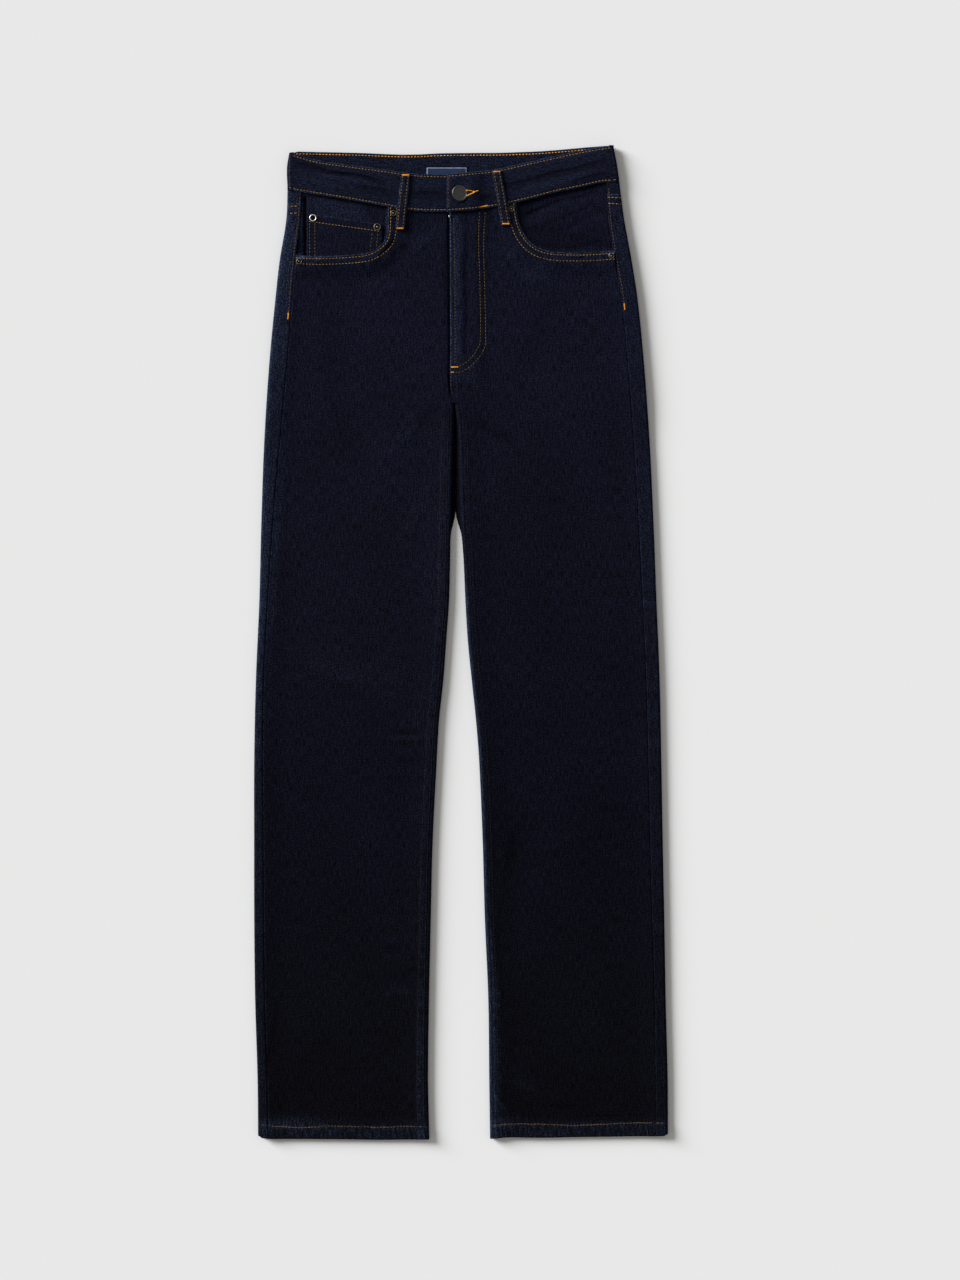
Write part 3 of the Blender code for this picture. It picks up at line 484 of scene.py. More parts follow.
def rubbed(height):
    """Wear and painted shade from creases: ridges are a little paler from wear, and troughs, below 0, are
    painted darker as painted shade.
    """
    return np.clip(height, -2, 0) * 0.45 + np.clip(height, 0, 2) * 0.03


def sewn(line, x, up, seed, depth=0.22, pucker=0.16, width=3.2):
    """What a row of stitches does to the cloth: a narrow groove, with puckers beside it."""
    away, along = nearest(line, x, up)
    waves = ripple(along, 7.5, seed) * bell(away, width) * bpy.context.scene.jeans_cloth.pucker
    return pucker * waves - depth * bell(away, 0.9)


def rolled(away, reach=1.1, depth=0.55):
    """How far an edge rounds down, at a distance from it."""
    return -depth * np.clip(1 - away / reach, 0, 1) ** 2


def fly_ditch(x, up):
    """1 in the narrow ditch that the left front sinks into along the fly's edge, 0 away from it."""
    return bell(x - FLY_EDGE["right"](up) + 1.1, 1.1) * smooth(CROTCH + 2, CROTCH + 14, up)


def front_face(side, x, up):
    """Upper face of a front panel, with its seams, hem and creases."""
    inward = INWARD[side]
    z = front_top(side, x, up) + creased(FRONT_CREASES[side], x, up)
    z += 0.2 * ripple(x + 0.4 * up, 95, 1) * ripple(up - 0.3 * x, 140, 2)
    over_hem = up - HEM[side]
    hem = 1 - smooth(HEM_DEPTH, HEM_DEPTH + 8, over_hem)
    z += 0.16 * hem * (streaks(x, over_hem) - 0.4)
    z += np.where(over_hem < 24, sewn(hem_line(side, *hem_parts(side)[1:3]), x, up, 4), 0)
    legs = 1 - smooth(CROTCH - 4, CROTCH + 3, up)
    inside = -inward * (x - INNER_EDGE[side](up)) - INSEAM_IN
    first, second = INSEAM_ROWS[side]
    fell = smooth(-0.5, 0.6, inside) * (1 - smooth(second + 0.2, second + 1.8, inside))
    rungs = 0.13 * ripple(up, 3.9, 5) + 0.06 * ripple(up, 11, 6)
    grooves = 0.2 * bell(inside - max(first, 1.0), 0.7) + 0.2 * bell(inside - second, 0.7)
    z += legs * (fell * (0.4 + rungs) - grooves)
    for n, line in enumerate(POCKET_SEWN[side]):
        z += sewn(line, x, up, 7 + n, pucker=0.14)
    if side == "right":
        z += sewn(FLY_ROW, x, up, 10, pucker=0.12, width=2.4)
        z += sewn(J_INNER, x, up, 11, pucker=0.12) + sewn(J_OUTER, x, up, 12, pucker=0.12)
    else:
        z -= 1.1 * fly_ditch(x, up)
    z += rolled(nearest(POCKET_LINE[side], x, up)[0], 1.3, 0.6)
    below = 1 - smooth(POCKET_LINE[side][0][1] - 3, POCKET_LINE[side][0][1] - 1, up)
    z += below * rolled(np.abs(x - SIDE_SEAM[side](up)), 1.4, 0.45)
    fly = smooth(CROTCH, CROTCH + 4, up) if side == "right" else 0.0
    z += fly * rolled(np.abs(x - FLY_EDGE[side](up)), 1.3, 0.55)
    return z + rolled(over_hem, 1.4, 0.7)


def hem_line(side, start, end):
    """The hem's row of stitches between two distances across the leg."""
    x = np.linspace(start, end, 48)
    return np.stack([x, np.interp(x, *zip(*HEM_ROWS[side])) + 0.3 * ripple(x, 21, 8)], axis=1)


def hem_parts(side):
    """Where the hem crosses the outer edge, the side seam, the inseam and the inner edge."""
    inner = float(INNER_EDGE[side](0))
    outer, seam = float(EDGE[side](HEM_MIDDLE)), float(SIDE_SEAM[side](HEM_MIDDLE))
    return outer, seam, inner - INWARD[side] * INSEAM_IN, inner


def streaks(x, over_hem):
    """Roping of the hem: fine upright streaks, from 0 to 1, where the turned cloth is pulled."""
    fine = ripple(x + 0.2 * over_hem, 5.2, 3) + 0.6 * ripple(x - 0.15 * over_hem, 2.9, 36)
    return np.clip(0.4 + 0.6 * fine, 0, 1.1)


def flap_face(side, x, up):
    """Upper face of a back panel or yoke where it comes round to the side seam."""
    z = base_top(side, x, up) + 0.15 * ripple(up, 60, 9)
    over_hem = up - HEM[side]
    z += 0.16 * (1 - smooth(HEM_DEPTH, HEM_DEPTH + 8, over_hem)) * (streaks(x, over_hem) - 0.4)
    beside = np.abs(x - SIDE_SEAM[side](up))
    sewn_part = smooth(TACK_LEVEL[side][0] - 6, TACK_LEVEL[side][0], up)
    pucker, groove = ripple(up, 6.5, 13) * bell(beside - SIDE_ROW, 3), bell(beside - SIDE_ROW, 0.9)
    z += sewn_part * (0.1 * pucker - 0.2 * groove)
    z += (0.2 + 0.1 * ripple(up, 4.1, 37)) * bell(beside - 2.4, 2.4) + rolled(beside, 1.3, 0.6)
    half = FOLD_RISE / 2
    inside = np.clip(half - np.abs(x - EDGE[side](up)), 0, half - 0.01)
    return z + rolled(over_hem, 1.4, 0.7) - half + np.sqrt(half**2 - inside**2)


def band_face(side, x, up):
    """Upper face of the front waistband: a little puffed between its edges."""
    top, foot = BAND_TOP[side](x), BAND_FOOT[side](x)
    t = np.clip((up - foot) / (top - foot), 0, 1)
    z = WAIST_Z + BAND + band_lift(side, x) - 0.25 + 0.35 * (1 - (2 * t - 1) ** 4)
    z += creased(BAND_CREASES[side], x, up)
    seed = 14 if side == "left" else 18
    for n, away in enumerate((top - up - BAND_TOP_ROW, up - foot - BAND_FOOT_ROW)):
        z += 0.14 * ripple(x, 6.8, seed + n) * bell(away, 3.5) - 0.22 * bell(away, 0.9)
    z += rolled(top - up, 1.2, 0.55) + rolled(up - foot, 1.2, 0.6)
    if side == "right":
        z += rolled(x - RIGHT_BAND_END, 1.2, 0.6) - 0.2 * bell(x - RIGHT_BAND_END - BAND_END_ROW, 0.8)
        lip = smooth(3.5, 6.5, x) * (1 - smooth(13, 22, x)) * bell(up - BUTTON.up - 0.8, 6)
        slot = smooth(5, 8, x) * (1 - smooth(12, 15, x)) * bell(up - BUTTON.up - 0.3, 1.2)
        z += 1.6 * lip - 1.3 * slot - 1.1 * bell(np.hypot(x - BUTTON.x, up - BUTTON.up + 1), 8.5)
    return z


def back_band_face(x, up):
    """Inner face of the back waistband, which shows over the dip of the front one."""
    top = BAND_TOP["back"](x)
    z = REST + BAND + 0.12 * ripple(x, 7.0, 22) * bell(top - up - BAND_TOP_ROW, 3.5)
    return z - 0.2 * bell(top - up - BAND_TOP_ROW, 0.9) + rolled(top - up, 1.2, 0.55)


def facing_dip(side, x, up):
    """How far the denim inside a pocket opening sinks: by the edges round it, and beside the coin pocket."""
    room = nearest(POCKET_LINE[side], x, up)[0]  # so that it keeps clear of the panel over it
    below_band = BAND_FOOT[side](x) - up
    sunk = 1.3 * smooth(0, 4, room) * (1 - 0.6 * smooth(14, 30, room)) + 0.6 * bell(below_band - 2, 4)
    if side == "left":
        ditch = bell(x - COIN_LEFT + 2.1, 1.8) * smooth(1, 7, below_band)
        sunk = np.maximum(sunk * 0.8, 2.5 * ditch)
    return sunk - np.clip(creased(FACING_CREASES[side], x, up), -1.4, 2) * smooth(2, 8, room)


def facing_face(side, x, up):
    """Upper face of a facing. Its troughs stop short of the cloth behind it, which is nearer on the right."""
    return base_top(side, x, up) - np.clip(facing_dip(side, x, up), -0.6, 2.6 if side == "left" else 2.1)


def coin_top(x):
    return mix(COIN_TOP_LEFT, COIN_TOP_RIGHT, (x - COIN_LEFT) / (COIN_RIGHT - COIN_LEFT))


COIN_ROWS = {
    "top": [(COIN_LEFT + 1.5, coin_top(COIN_LEFT) - 8.6), (COIN_RIGHT - 2.0, coin_top(COIN_RIGHT) - 7.6)],
    "left_outer": [(-161.9, 981.0), (-161.9, 944.0)],
    "left_inner": [(-156.3, 981.0), (-156.3, 944.0)],
    "right_inner": [(-95.0, 970.0), (-97.0, 950.0)],
    "right_outer": [(-89.0, 969.5), (-90.9, 951.0)],
}


def coin_face(x, up):
    z = base_top("left", x, up) + SEAM + CLOTH + 0.12 * ripple(x + up, 30, 23)
    for n, line in enumerate(COIN_ROWS.values()):
        z += sewn(line, x, up, 24 + n, depth=0.18, pucker=0.1, width=2.5)
    z += rolled(coin_top(x) - up, 1.2, 0.5)
    return z + rolled(x - COIN_LEFT, 1.2, 0.5) + rolled(COIN_RIGHT - x, 1.2, 0.5)


def loop_profile(side):
    """Heights of a front belt loop's underside along it, as level and z."""
    loop = FRONT_LOOPS[side]
    band_top = WAIST_Z + BAND + SEAM
    foot_level = float(BAND_FOOT[side](mix(loop.top_x, loop.foot_x, 0.65)))
    landing = foot_level - LOOP_STEP[1]
    between = mix(landing, loop.foot, 0.5)
    stations = [
        (loop.foot, front_top(side, loop.foot_x, loop.foot) + SEAM + LOOP_EASE),
        (between, front_top(side, loop.foot_x, between) + SEAM + LOOP_EASE),
        (landing, front_top(side, loop.foot_x, landing) + SEAM + LOOP_EASE),
        (foot_level - LOOP_STEP[0], band_top),
        (mix(loop.top, foot_level, 0.5), band_top + LOOP_BELLY),
        (loop.top, band_top),
    ]
    return rounded([(up, float(z)) for up, z in stations], 1.0)


LOOP_PROFILE = {side: loop_profile(side) for side in SIDE_NAMES}
LOOP_ROW = 2.9  # each side of the middle


def loop_middle(side, up):
    loop = FRONT_LOOPS[side]
    return mix(loop.foot_x, loop.top_x, (up - loop.foot) / (loop.top - loop.foot))


def loop_face(side, x, up):
    away = np.abs(x - loop_middle(side, up))
    z = np.interp(up, LOOP_PROFILE[side][:, 0], LOOP_PROFILE[side][:, 1]) + LOOP
    z += 0.2 * (1 - (away / (LOOP_WIDTH / 2)) ** 2) + 0.08 * ripple(up, 6, 30) * bell(away - LOOP_ROW, 1.5)
    return z - 0.18 * bell(away - LOOP_ROW, 0.8) + rolled(LOOP_WIDTH / 2 - away, 1.1, 0.6)


# Meshes.


# Where the hems hang lower (below 0) or higher than straight: across, width, and how far.
HANGS = [
    (-216, 8, 0.9), (-200, 60, 0.35), (-86, 30, -0.6), (32, 12, -1.6), (84, 30, -0.8), (200, 45, 0.9),
]


def place(points):
    """Points (x, up, z) in millimetres as points of the frame, in metres."""
    placed = np.array(points, float)
    lift = sum(height * bell(placed[..., 0] - x, width) for x, width, height in HANGS)
    placed[..., 1] += lift * (1 - smooth(5, 70, placed[..., 1])) - LENGTH / 2
    return placed * MM


def put_in_scene(name, data):
    thing = bpy.data.objects.new(name, data)
    bpy.context.scene.collection.objects.link(thing)
    return thing


def make(name, points, faces, material, wear_and_painted_light=None, grain=None, sharp=50):
    """A mesh piece that rides on the part. Wear and painted light, with painted shade below 0, go to an
    attribute; grain (across, along) to a UV map.
    """
    mesh = bpy.data.meshes.new(name)
    mesh.from_pydata(place(points).tolist(), [], faces)
    if grain is not None:
        corners = np.empty(len(mesh.loops), int)
        mesh.loops.foreach_get("vertex_index", corners)
        mesh.uv_layers.new(name="cloth").data.foreach_set("uv", (grain.reshape(-1, 2)[corners] * MM).ravel())
    if wear_and_painted_light is not None:
        mesh.attributes.new("wear_and_painted_light", "FLOAT", "POINT").data.foreach_set("value", wear_and_painted_light.astype(np.float32))
    work = bmesh.new()
    work.from_mesh(mesh)
    bmesh.ops.delete(work, geom=[v for v in work.verts if not v.link_faces], context="VERTS")
    bmesh.ops.recalc_face_normals(work, faces=work.faces)
    work.to_mesh(mesh)
    work.free()
    mesh.materials.append(material)
    mesh.shade_smooth()
    mesh.set_sharp_from_angle(angle=radians(sharp))
    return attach(put_in_scene(name, mesh), "root")


def grid(x, up, z):
    """A grid of points over the plane."""
    return np.stack(np.broadcast_arrays(x, up, z), axis=-1)


def wall(name, outer, inner, material, wear_and_painted_light, grain, keep=None):
    """A closed wall of cloth between two grids of points."""
    rows, columns = outer.shape[:2]
    under = rows * columns
    index = np.arange(under).reshape(rows, columns)
    a, b, c, d = index[:-1, :-1], index[:-1, 1:], index[1:, 1:], index[1:, :-1]
    kept = np.ones(a.shape, bool) if keep is None else keep
    top = np.stack([a, b, c, d], axis=-1)[kept]
    parts = [top, top[:, ::-1] + under]
    padded = np.pad(kept, 1)
    for (p, q), (dj, dk) in (((a, b), (0, 1)), ((b, c), (1, 2)), ((c, d), (2, 1)), ((d, a), (1, 0))):
        rim = kept & ~padded[dj : dj + rows - 1, dk : dk + columns - 1]
        parts.append(np.stack([q[rim], p[rim], p[rim] + under, q[rim] + under], axis=-1))
    points = np.concatenate([outer.reshape(-1, 3), inner.reshape(-1, 3)])
    wear_and_painted_light = np.tile(np.broadcast_to(wear_and_painted_light, (rows, columns)).ravel(), 2)
    faces = np.concatenate(parts).tolist()
    return make(name, points, faces, material, wear_and_painted_light, np.tile(grain.reshape(-1, 2), (2, 1)))


def declare(piece, outer, keep=None):
    """Measures the steps between a cloth piece's rows and the areas of its cells, then gives the piece back
    unchanged.
    """
    down = np.linalg.norm(np.diff(outer, axis=0), axis=2)
    one = np.cross(outer[1:, 1:] - outer[:-1, :-1], outer[1:, :-1] - outer[:-1, 1:])
    cells = np.linalg.norm(one, axis=2) / 2
    if keep is not None:
        cells = cells * keep
        down = down * np.pad(keep, ((0, 0), (0, 1)), mode="edge")
    return piece


def cut(name, node, outer, inner, wear_and_painted_light, grain=None, keep=None, maker=None):
    """Makes a piece of cloth between its outer and its inner face, in place of a node."""
    grain = outer[..., :2] if grain is None else grain
    material = finish(maker or rope_dyed_cotton_denim)
    piece = wall(name, outer, inner, material, wear_and_painted_light, grain, keep)
    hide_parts(node)
    return declare(piece, outer, keep)


# Distances of a piece's first columns or rows from its edge, so that the edge rounds over.
NEAR_EDGE = (0.0, 0.2, 0.45, 0.75, 1.1, 1.6, 2.3, 3.2, 4.4, 6.0, 8.0)


# About how deep the pieces are whose rows are spaced in parts of their depth.
BAND_DEPTH = 39.0
BACK_BAND_DEPTH = 40.0
COIN_DEPTH = 40.0


def from_both_ends(width, middle):
    """Distances across a piece of the given width: close together near both edges, even between them."""
    width, near = np.asarray(width, float)[..., None], np.array(NEAR_EDGE)
    first = near * np.minimum(1.0, width * 0.3 / near[-1])
    last = width - first[..., ::-1]
    inside = np.linspace(0, 1, middle + 2)[1:-1]
    return np.concatenate([first, mix(first[..., -1:], last[..., :1], inside), last], axis=-1)


def front_ends(side):
    """The two ends of each row of a front panel, from the hem to the waistband."""
    inward = INWARD[side]
    gap = inward * SEAM / 2
    hem = np.concatenate([NEAR_EDGE, [10, 11.6, 13, 14.4, 16, 18, 20.5, 23]]) + HEM[side]
    legs = [hem, np.arange(25, 80, 2.0), np.arange(81, CROTCH - 6, 3.0), [CROTCH - 4, CROTCH - 1.5, CROTCH]]
    legs = np.concatenate(legs)
    start = [(SIDE_SEAM[side](up) + gap, up) for up in legs]
    end = [(INNER_EDGE[side](up) - inward * INSEAM_IN - gap, up) for up in legs]
    start.append((SIDE_SEAM[side](CROTCH + SEAM) + gap, CROTCH + SEAM))
    end.append((INNER_EDGE[side](CROTCH) - inward * INSEAM_IN - gap, CROTCH + SEAM))
    last = mix(REST_FULL, YOKE_SIDE[side], SIDE_TOP)
    body = np.concatenate([[CROTCH + 4 * SEAM, CROTCH + 3], np.arange(CROTCH + 5.4, last - 2, 2.4), [last]])
    start += [(SIDE_SEAM[side](up) + gap, up) for up in body]
    line = np.concatenate([[mix(start[-1], POCKET_LINE[side][0], 0.5)], spaced(POCKET_LINE[side], 1.8)])
    top = BAND_FOOT[side](FLY_EDGE[side](FLY_TOP)) - SEAM
    levels = mix(last, top, np.arange(1, len(line) + 1) / len(line))
    end += [(FLY_EDGE[side](up), up) for up in (*body, *levels)]
    return np.array([*start, *line], float), np.array(end, float), len(line)


def panel_columns(width):
    """Distances across a front panel: close together over the seams at both ends."""
    outer = np.concatenate([NEAR_EDGE[:7], np.arange(3.4, 13, 1.2)])
    inner = np.concatenate([NEAR_EDGE[:7], np.arange(3.4, 40, 1.25)])
    between = np.linspace(0, 1, 50)[1:-1]
    last = width[:, None] - inner[None, ::-1]
    first = np.broadcast_to(outer, (len(width), len(outer)))
    return np.concatenate([first, mix(first[:, -1:], last[:, :1], between[None, :]), last], axis=1)


BEND_FROM = 0.4  # part of the pocket rows after which they bend to follow the waistband


def front_plane(side):
    """The plane of a front panel, as x and up of its grid."""
    start, end, pocket_rows = front_ends(side)
    width = np.linalg.norm(end - start, axis=1)
    t = panel_columns(width) / width[:, None]
    x = mix(start[:, :1], end[:, :1], t)
    up = mix(start[:, 1:], end[:, 1:], t)
    bend = np.zeros(len(start))
    bend[-pocket_rows:] = np.clip((np.linspace(0, 1, pocket_rows) - BEND_FROM) / (1 - BEND_FROM), 0, 1)
    straight = mix(start[-1, 1], end[-1, 1], (x - start[-1, 0]) / (end[-1, 0] - start[-1, 0]))
    return x, up + bend[:, None] * (BAND_FOOT[side](x) - SEAM - straight)


def hem_wear(side, x, up):
    """Paler streaks up the hem, and a paler patch over it at two corners."""
    hem = up - HEM[side]
    wear_and_painted_light = 0.056 * streaks(x, hem) * (1 - smooth(HEM_DEPTH - 1, HEM_DEPTH + 5, hem))
    patch = bell(x + 190, 34) if side == "left" else bell(x - 38, 18)
    return wear_and_painted_light + (0.008 + 0.05 * patch) * bell(hem - 17, 6) * (0.4 + streaks(x, hem))


def front_wear(side, x, up):
    """Where a front panel is paler: at its edges, its hem and the seams that rub. It is painted darker as
    painted shade in crease troughs, in the ditch along the fly and over the right leg.
    """
    pocket, along = nearest(POCKET_LINE[side], x, up)
    wear_and_painted_light = (0.13 + 0.06 * ripple(along, 9, 39)) * bell(pocket - 0.2, 0.55) + 0.015 * bell(pocket - 5.5, 3.5)
    # Crease troughs are painted darker as painted shade, and their ridges are a little paler from wear.
    wear_and_painted_light += hem_wear(side, x, up) + rubbed(creased(FRONT_CREASES[side], x, up))
    seam = np.abs(x - SIDE_SEAM[side](up))
    wear_and_painted_light += 0.02 * bell(seam, 1.2) * (up < POCKET_LINE[side][0][1])
    if side == "left":
        wear_and_painted_light += 0.028 * bell(seam - 5, 4) * bell(up - 630, 110)
    inside = -INWARD[side] * (x - INNER_EDGE[side](up)) - INSEAM_IN
    rungs = np.clip(0.5 + 0.5 * ripple(up, 3.9, 5), 0, 1)
    felled = mix(0.045, 0.012 if side == "left" else 0.025, smooth(60, 260, up))
    wear_and_painted_light += felled * rungs * (1 - smooth(7, 9.5, inside)) * (up < CROTCH)
    if side == "right":
        fly = np.abs(x - FLY_EDGE[side](up))
        wear_and_painted_light += smooth(CROTCH + 4, CROTCH + 30, up) * (0.12 * bell(fly - 0.3, 0.7) + 0.025 * bell(fly - 6, 6))
        wear_and_painted_light += 0.05 * bell(inside, 2.5) * (up < CROTCH - 60)
        # Painted shade: the right leg is painted a little darker from its shin up to the fork.
        wear_and_painted_light -= 0.07 * smooth(60, 400, up) * (1 - smooth(700, 830, up))
    else:
        # Painted shade: the ditch along the fly's edge is painted dark.
        wear_and_painted_light -= 0.9 * fly_ditch(x, up)
    return np.clip(wear_and_painted_light, -1, 1)


def make_front(side):
    x, up = front_plane(side)
    face = front_face(side, x, up)
    under = np.minimum(front_top(side, x, up) - 0.15, face) - FINE_CLOTH
    outer, inner = grid(x, up, face), grid(x, up, under)
    return cut(
        "front_panel_" + side, "front_" + side, outer, inner, front_wear(side, x, up)
    )


FOLD_ANGLES = np.linspace(90, -90, 15)
UNDER_COLUMNS = 26
TOE_ANGLES = np.linspace(-90, 90, 13)
CENTRE_MARGIN = 4.0
CLOSED_SEAM = 0.02  # half the gap left where the two legs are sewn together
UNDER_CLEAR = 0.3  # the legs' underside stands this far off the surface, so that its stitches have room


def fold(edge, inward, low, height, angles):
    """Points round a fold edge, as (x, z)."""
    radius = height / 2
    turn = np.radians(angles)
    return np.stack([edge + inward * radius * (1 - np.cos(turn)), low + radius * (1 + np.sin(turn))], axis=1)


def under_z(up):
    return np.maximum(rest(up), UNDER_CLEAR)


FLAP_COLUMNS = 7
FLAP_NEAR = np.array(NEAR_EDGE[:8])
FLAP_POINTS = len(FLAP_NEAR) + FLAP_COLUMNS
FOLD_POINTS = FLAP_POINTS + len(FOLD_ANGLES)
CENTRE_POINTS = 4
TORSO_POINTS = FOLD_POINTS + UNDER_COLUMNS + CENTRE_POINTS
LEG_POINTS = FOLD_POINTS + UNDER_COLUMNS + len(TOE_ANGLES) + 2


def panel_section(side, up, wrapped):
    """Outer (x, z) points round a back panel: flap, outer fold, underside, and inner fold where wrapped."""
    inward = INWARD[side]
    edge, low = float(EDGE[side](up)), float(under_z(up))
    height = FOLD_RISE + float(rest(up)) - low + float(hem_ply(side, up))
    seam = float(SIDE_SEAM[side](up)) - inward * SEAM / 2
    arc = fold(edge, inward, low, height, FOLD_ANGLES)
    near = seam - inward * FLAP_NEAR
    far = mix(near[-1], arc[0, 0], np.linspace(0, 1, FLAP_COLUMNS + 2)[1:-1])
    across = np.concatenate([near, far])
    flap = np.stack([across, flap_face(side, across, np.full(across.shape, up))], axis=1)
    middle = float(centre(up)) - inward * CLOSED_SEAM
    if not wrapped:
        away = inward * CENTRE_MARGIN * np.linspace(1, 0, CENTRE_POINTS)
        toe = np.stack([middle - away, np.full(CENTRE_POINTS, low)], axis=1)
        return np.concatenate([flap, arc, between(arc[-1], toe[0]), toe])
    inner = float(INNER_EDGE[side](up))
    toe = fold(inner, -inward, low, height, TOE_ANGLES)
    half = height / 2
    corners = [
        (middle - inward * CENTRE_MARGIN, low),
        (middle, low),
        (mix(middle, inner, 0.6), low + 0.45 * height),
        (inner - inward * 0.3 * half, low + height - 0.3 * half),
        tuple(toe[-1]),
    ]
    at = np.linspace(0, 4, len(TOE_ANGLES))
    wide = np.stack([np.interp(at, range(5), column) for column in zip(*corners)], axis=1)
    toe = mix(toe, wide, float(smooth(SPREAD_FROM, SPREAD_FULL, up)))
    last = (inner - inward * (INSEAM_IN - SEAM / 2), toe[-1, 1])
    ends = np.array([mix(toe[-1], np.array(last), 0.6), last])
    return np.concatenate([flap, arc, between(arc[-1], toe[0]), toe, ends])


def between(start, end):
    t = np.linspace(0, 1, UNDER_COLUMNS + 2)[1:-1, None]
    return mix(start[None, :], end[None, :], t)


def inset(points, thickness):
    """The other face of a wall, to the right of a line that is walked from its first point."""
    step = np.diff(points, axis=0)
    step /= np.maximum(np.linalg.norm(step, axis=1), 1e-9)[:, None]
    normal = np.stack([step[:, 1], -step[:, 0]], axis=1)
    first, second = np.concatenate([normal[:1], normal]), np.concatenate([normal, normal[-1:]])
    scale = thickness / np.maximum(1 + (first * second).sum(1), 0.35)
    return points + (first + second) * scale[:, None]


def hem_lift(column):
    """How the hem turns up round the outer fold."""
    at = np.interp(column, [0, FLAP_POINTS - 1, FLAP_POINTS, FOLD_POINTS - 1, FOLD_POINTS], [0, 1, 2, 8, 9])
    return np.interp(at, range(len(HEM_LIFT) + 1), [*HEM_LIFT, 0.0])


def yoke_level(side, column):
    steps = (FOLD_POINTS - 1, FOLD_POINTS + UNDER_COLUMNS, TORSO_POINTS - 1)
    across = np.interp(column, steps, (0, 1 - 1 / (UNDER_COLUMNS + 2), 1))
    return mix(YOKE_SIDE[side], YOKE_CENTRE, across)


def round_rows(side, rows):
    """Both faces of a wrapped piece. Each row is (levels of its points, whether the leg is wrapped)."""
    outer, inner = [], []
    for levels, wrapped in rows:
        flat = np.ptp(levels) < 1e-6
        sections = {}
        face_row, back_row = [], []
        for k, level in enumerate(levels):
            key = level if not flat else levels[0]
            if key not in sections:
                section = panel_section(side, key, wrapped)
                inside = inset(section, -INWARD[side] * (FINE_CLOTH + float(hem_ply(side, key))))
                sections[key] = (section, inside)
            section, inside = sections[key]
            face_row.append((section[k, 0], level, section[k, 1]))
            back_row.append((inside[k, 0], level, inside[k, 1]))
        missing = LEG_POINTS - len(levels)
        outer.append(face_row + face_row[-1:] * missing)
        inner.append(back_row + back_row[-1:] * missing)
    return np.array(outer), np.array(inner)


def round_grain(outer):
    """Distance across the cloth, from the outer fold, and along it."""
    step = np.linalg.norm(np.diff(outer, axis=1), axis=2)
    across = np.concatenate([np.zeros((len(outer), 1)), np.cumsum(step, axis=1)], axis=1)
    across -= across[:, FLAP_POINTS + 7][:, None]
    return np.stack([across, outer[..., 1]], axis=-1)


# How pale a leg's outer and inner folds are, and the strip between the outer fold and the side seam. The
# folds that face the window, the left leg's outer and the right leg's inner, are paler than the others:
# painted light on top of their wear.
FOLD_WEAR_AND_PAINTED_LIGHT = {"left": (0.045, 0.015, 0.012), "right": (0.01, 0.08, 0.002)}


def round_wear(side, outer):
    x, up, z = outer[..., 0], outer[..., 1], outer[..., 2]
    flap = np.arange(outer.shape[1])[None, :] < FOLD_POINTS
    rungs = np.clip(0.5 + 0.5 * ripple(up, 4.1, 37), 0, 1)
    outer_edge, inner_edge, strip = FOLD_WEAR_AND_PAINTED_LIGHT[side]
    high = smooth(300, 560, up)
    outer_edge = outer_edge * mix(0.2, 1.25, high)
    inner_edge = inner_edge * (1 - smooth(SPREAD_FROM - 70, SPREAD_FROM - 10, up))
    strip = strip * mix(0.6, 1.8, high)
    if side == "left":
        strip = strip + 0.03 * bell(up - 925, 55)
    wear_and_painted_light = 0.95 * hem_wear(side, x, up) + outer_edge * bell(x - EDGE[side](up), 5)
    wear_and_painted_light += inner_edge * bell(x - INNER_EDGE[side](up), 4.5) + flap * (strip + 0.012 * rungs)
    # Painted shade: the cleft at the fork is painted dark, darkest deep down; at its brink the left leg is a
    # touch paler and the right leg a little darker.
    cleft = smooth(SPREAD_FROM - 6, SPREAD_FROM + 12, up) * (1 - smooth(CROTCH - 6, CROTCH + 2, up)) * (~flap)
    deep = 1 - smooth(0.45, 0.85, (z - rest(up)) / FOLD_RISE)
    brink = 0.02 if side == "left" else -0.12
    return np.clip(wear_and_painted_light + cleft * mix(brink, -1, deep), -1, 1)


def make_back(side):
    """A back panel from the hem to the yoke seam, wrapped round the leg's fold edges."""
    near = np.concatenate([NEAR_EDGE, [10, 11.6, 12.4, 13.2, 14.2, 16, 19, 23]])
    legs = np.concatenate([HEM[side] + near, np.arange(29, CROTCH - 8, 6.5), [CROTCH - 4, CROTCH]])
    columns = np.arange(LEG_POINTS)
    torso = yoke_level(side, columns[:TORSO_POINTS]) - SEAM / 2
    rows = [(level + hem_lift(columns) * np.clip(1 - (level - HEM[side]) / 8, 0, 1), True) for level in legs]
    rows += [(mix(REST_FULL, torso, t), False) for t in np.linspace(0, 1, 26)]
    outer, inner = round_rows(side, rows)
    keep = np.ones((len(rows) - 1, LEG_POINTS - 1), bool)
    keep[len(legs) - 1 :, TORSO_POINTS - 1 :] = False
    wear_and_painted_light, grain = round_wear(side, outer), round_grain(outer)
    name, rests_on = "back_panel_" + side, ["back_pocket_sewn_" + side]
    return cut(name, "back_" + side, outer, inner, wear_and_painted_light, grain, keep)


def make_yoke(side):
    """A back yoke: a flap beside the waistband, round the fold and across to the centre back."""
    columns = np.arange(TORSO_POINTS)
    low = yoke_level(side, columns) + SEAM / 2
    x = np.array([panel_section(side, level, False)[k][0] for k, level in enumerate(low)])
    behind = np.where(columns < FOLD_POINTS, band_corner(side, 0), BAND_FOOT["back"](x))
    high = np.where(columns < FLAP_POINTS, BAND_FOOT[side](x), behind)
    outer, inner = round_rows(side, [(mix(low, high - SEAM, t), False) for t in np.linspace(0, 1, 12)])
    outer, inner = outer[:, :TORSO_POINTS], inner[:, :TORSO_POINTS]
    wear_and_painted_light = round_wear(side, outer)
    wear_and_painted_light[0] = np.maximum(wear_and_painted_light[0], 0.3)
    return cut("yoke_sewn_" + side, "yoke_" + side, outer, inner, wear_and_painted_light, round_grain(outer))


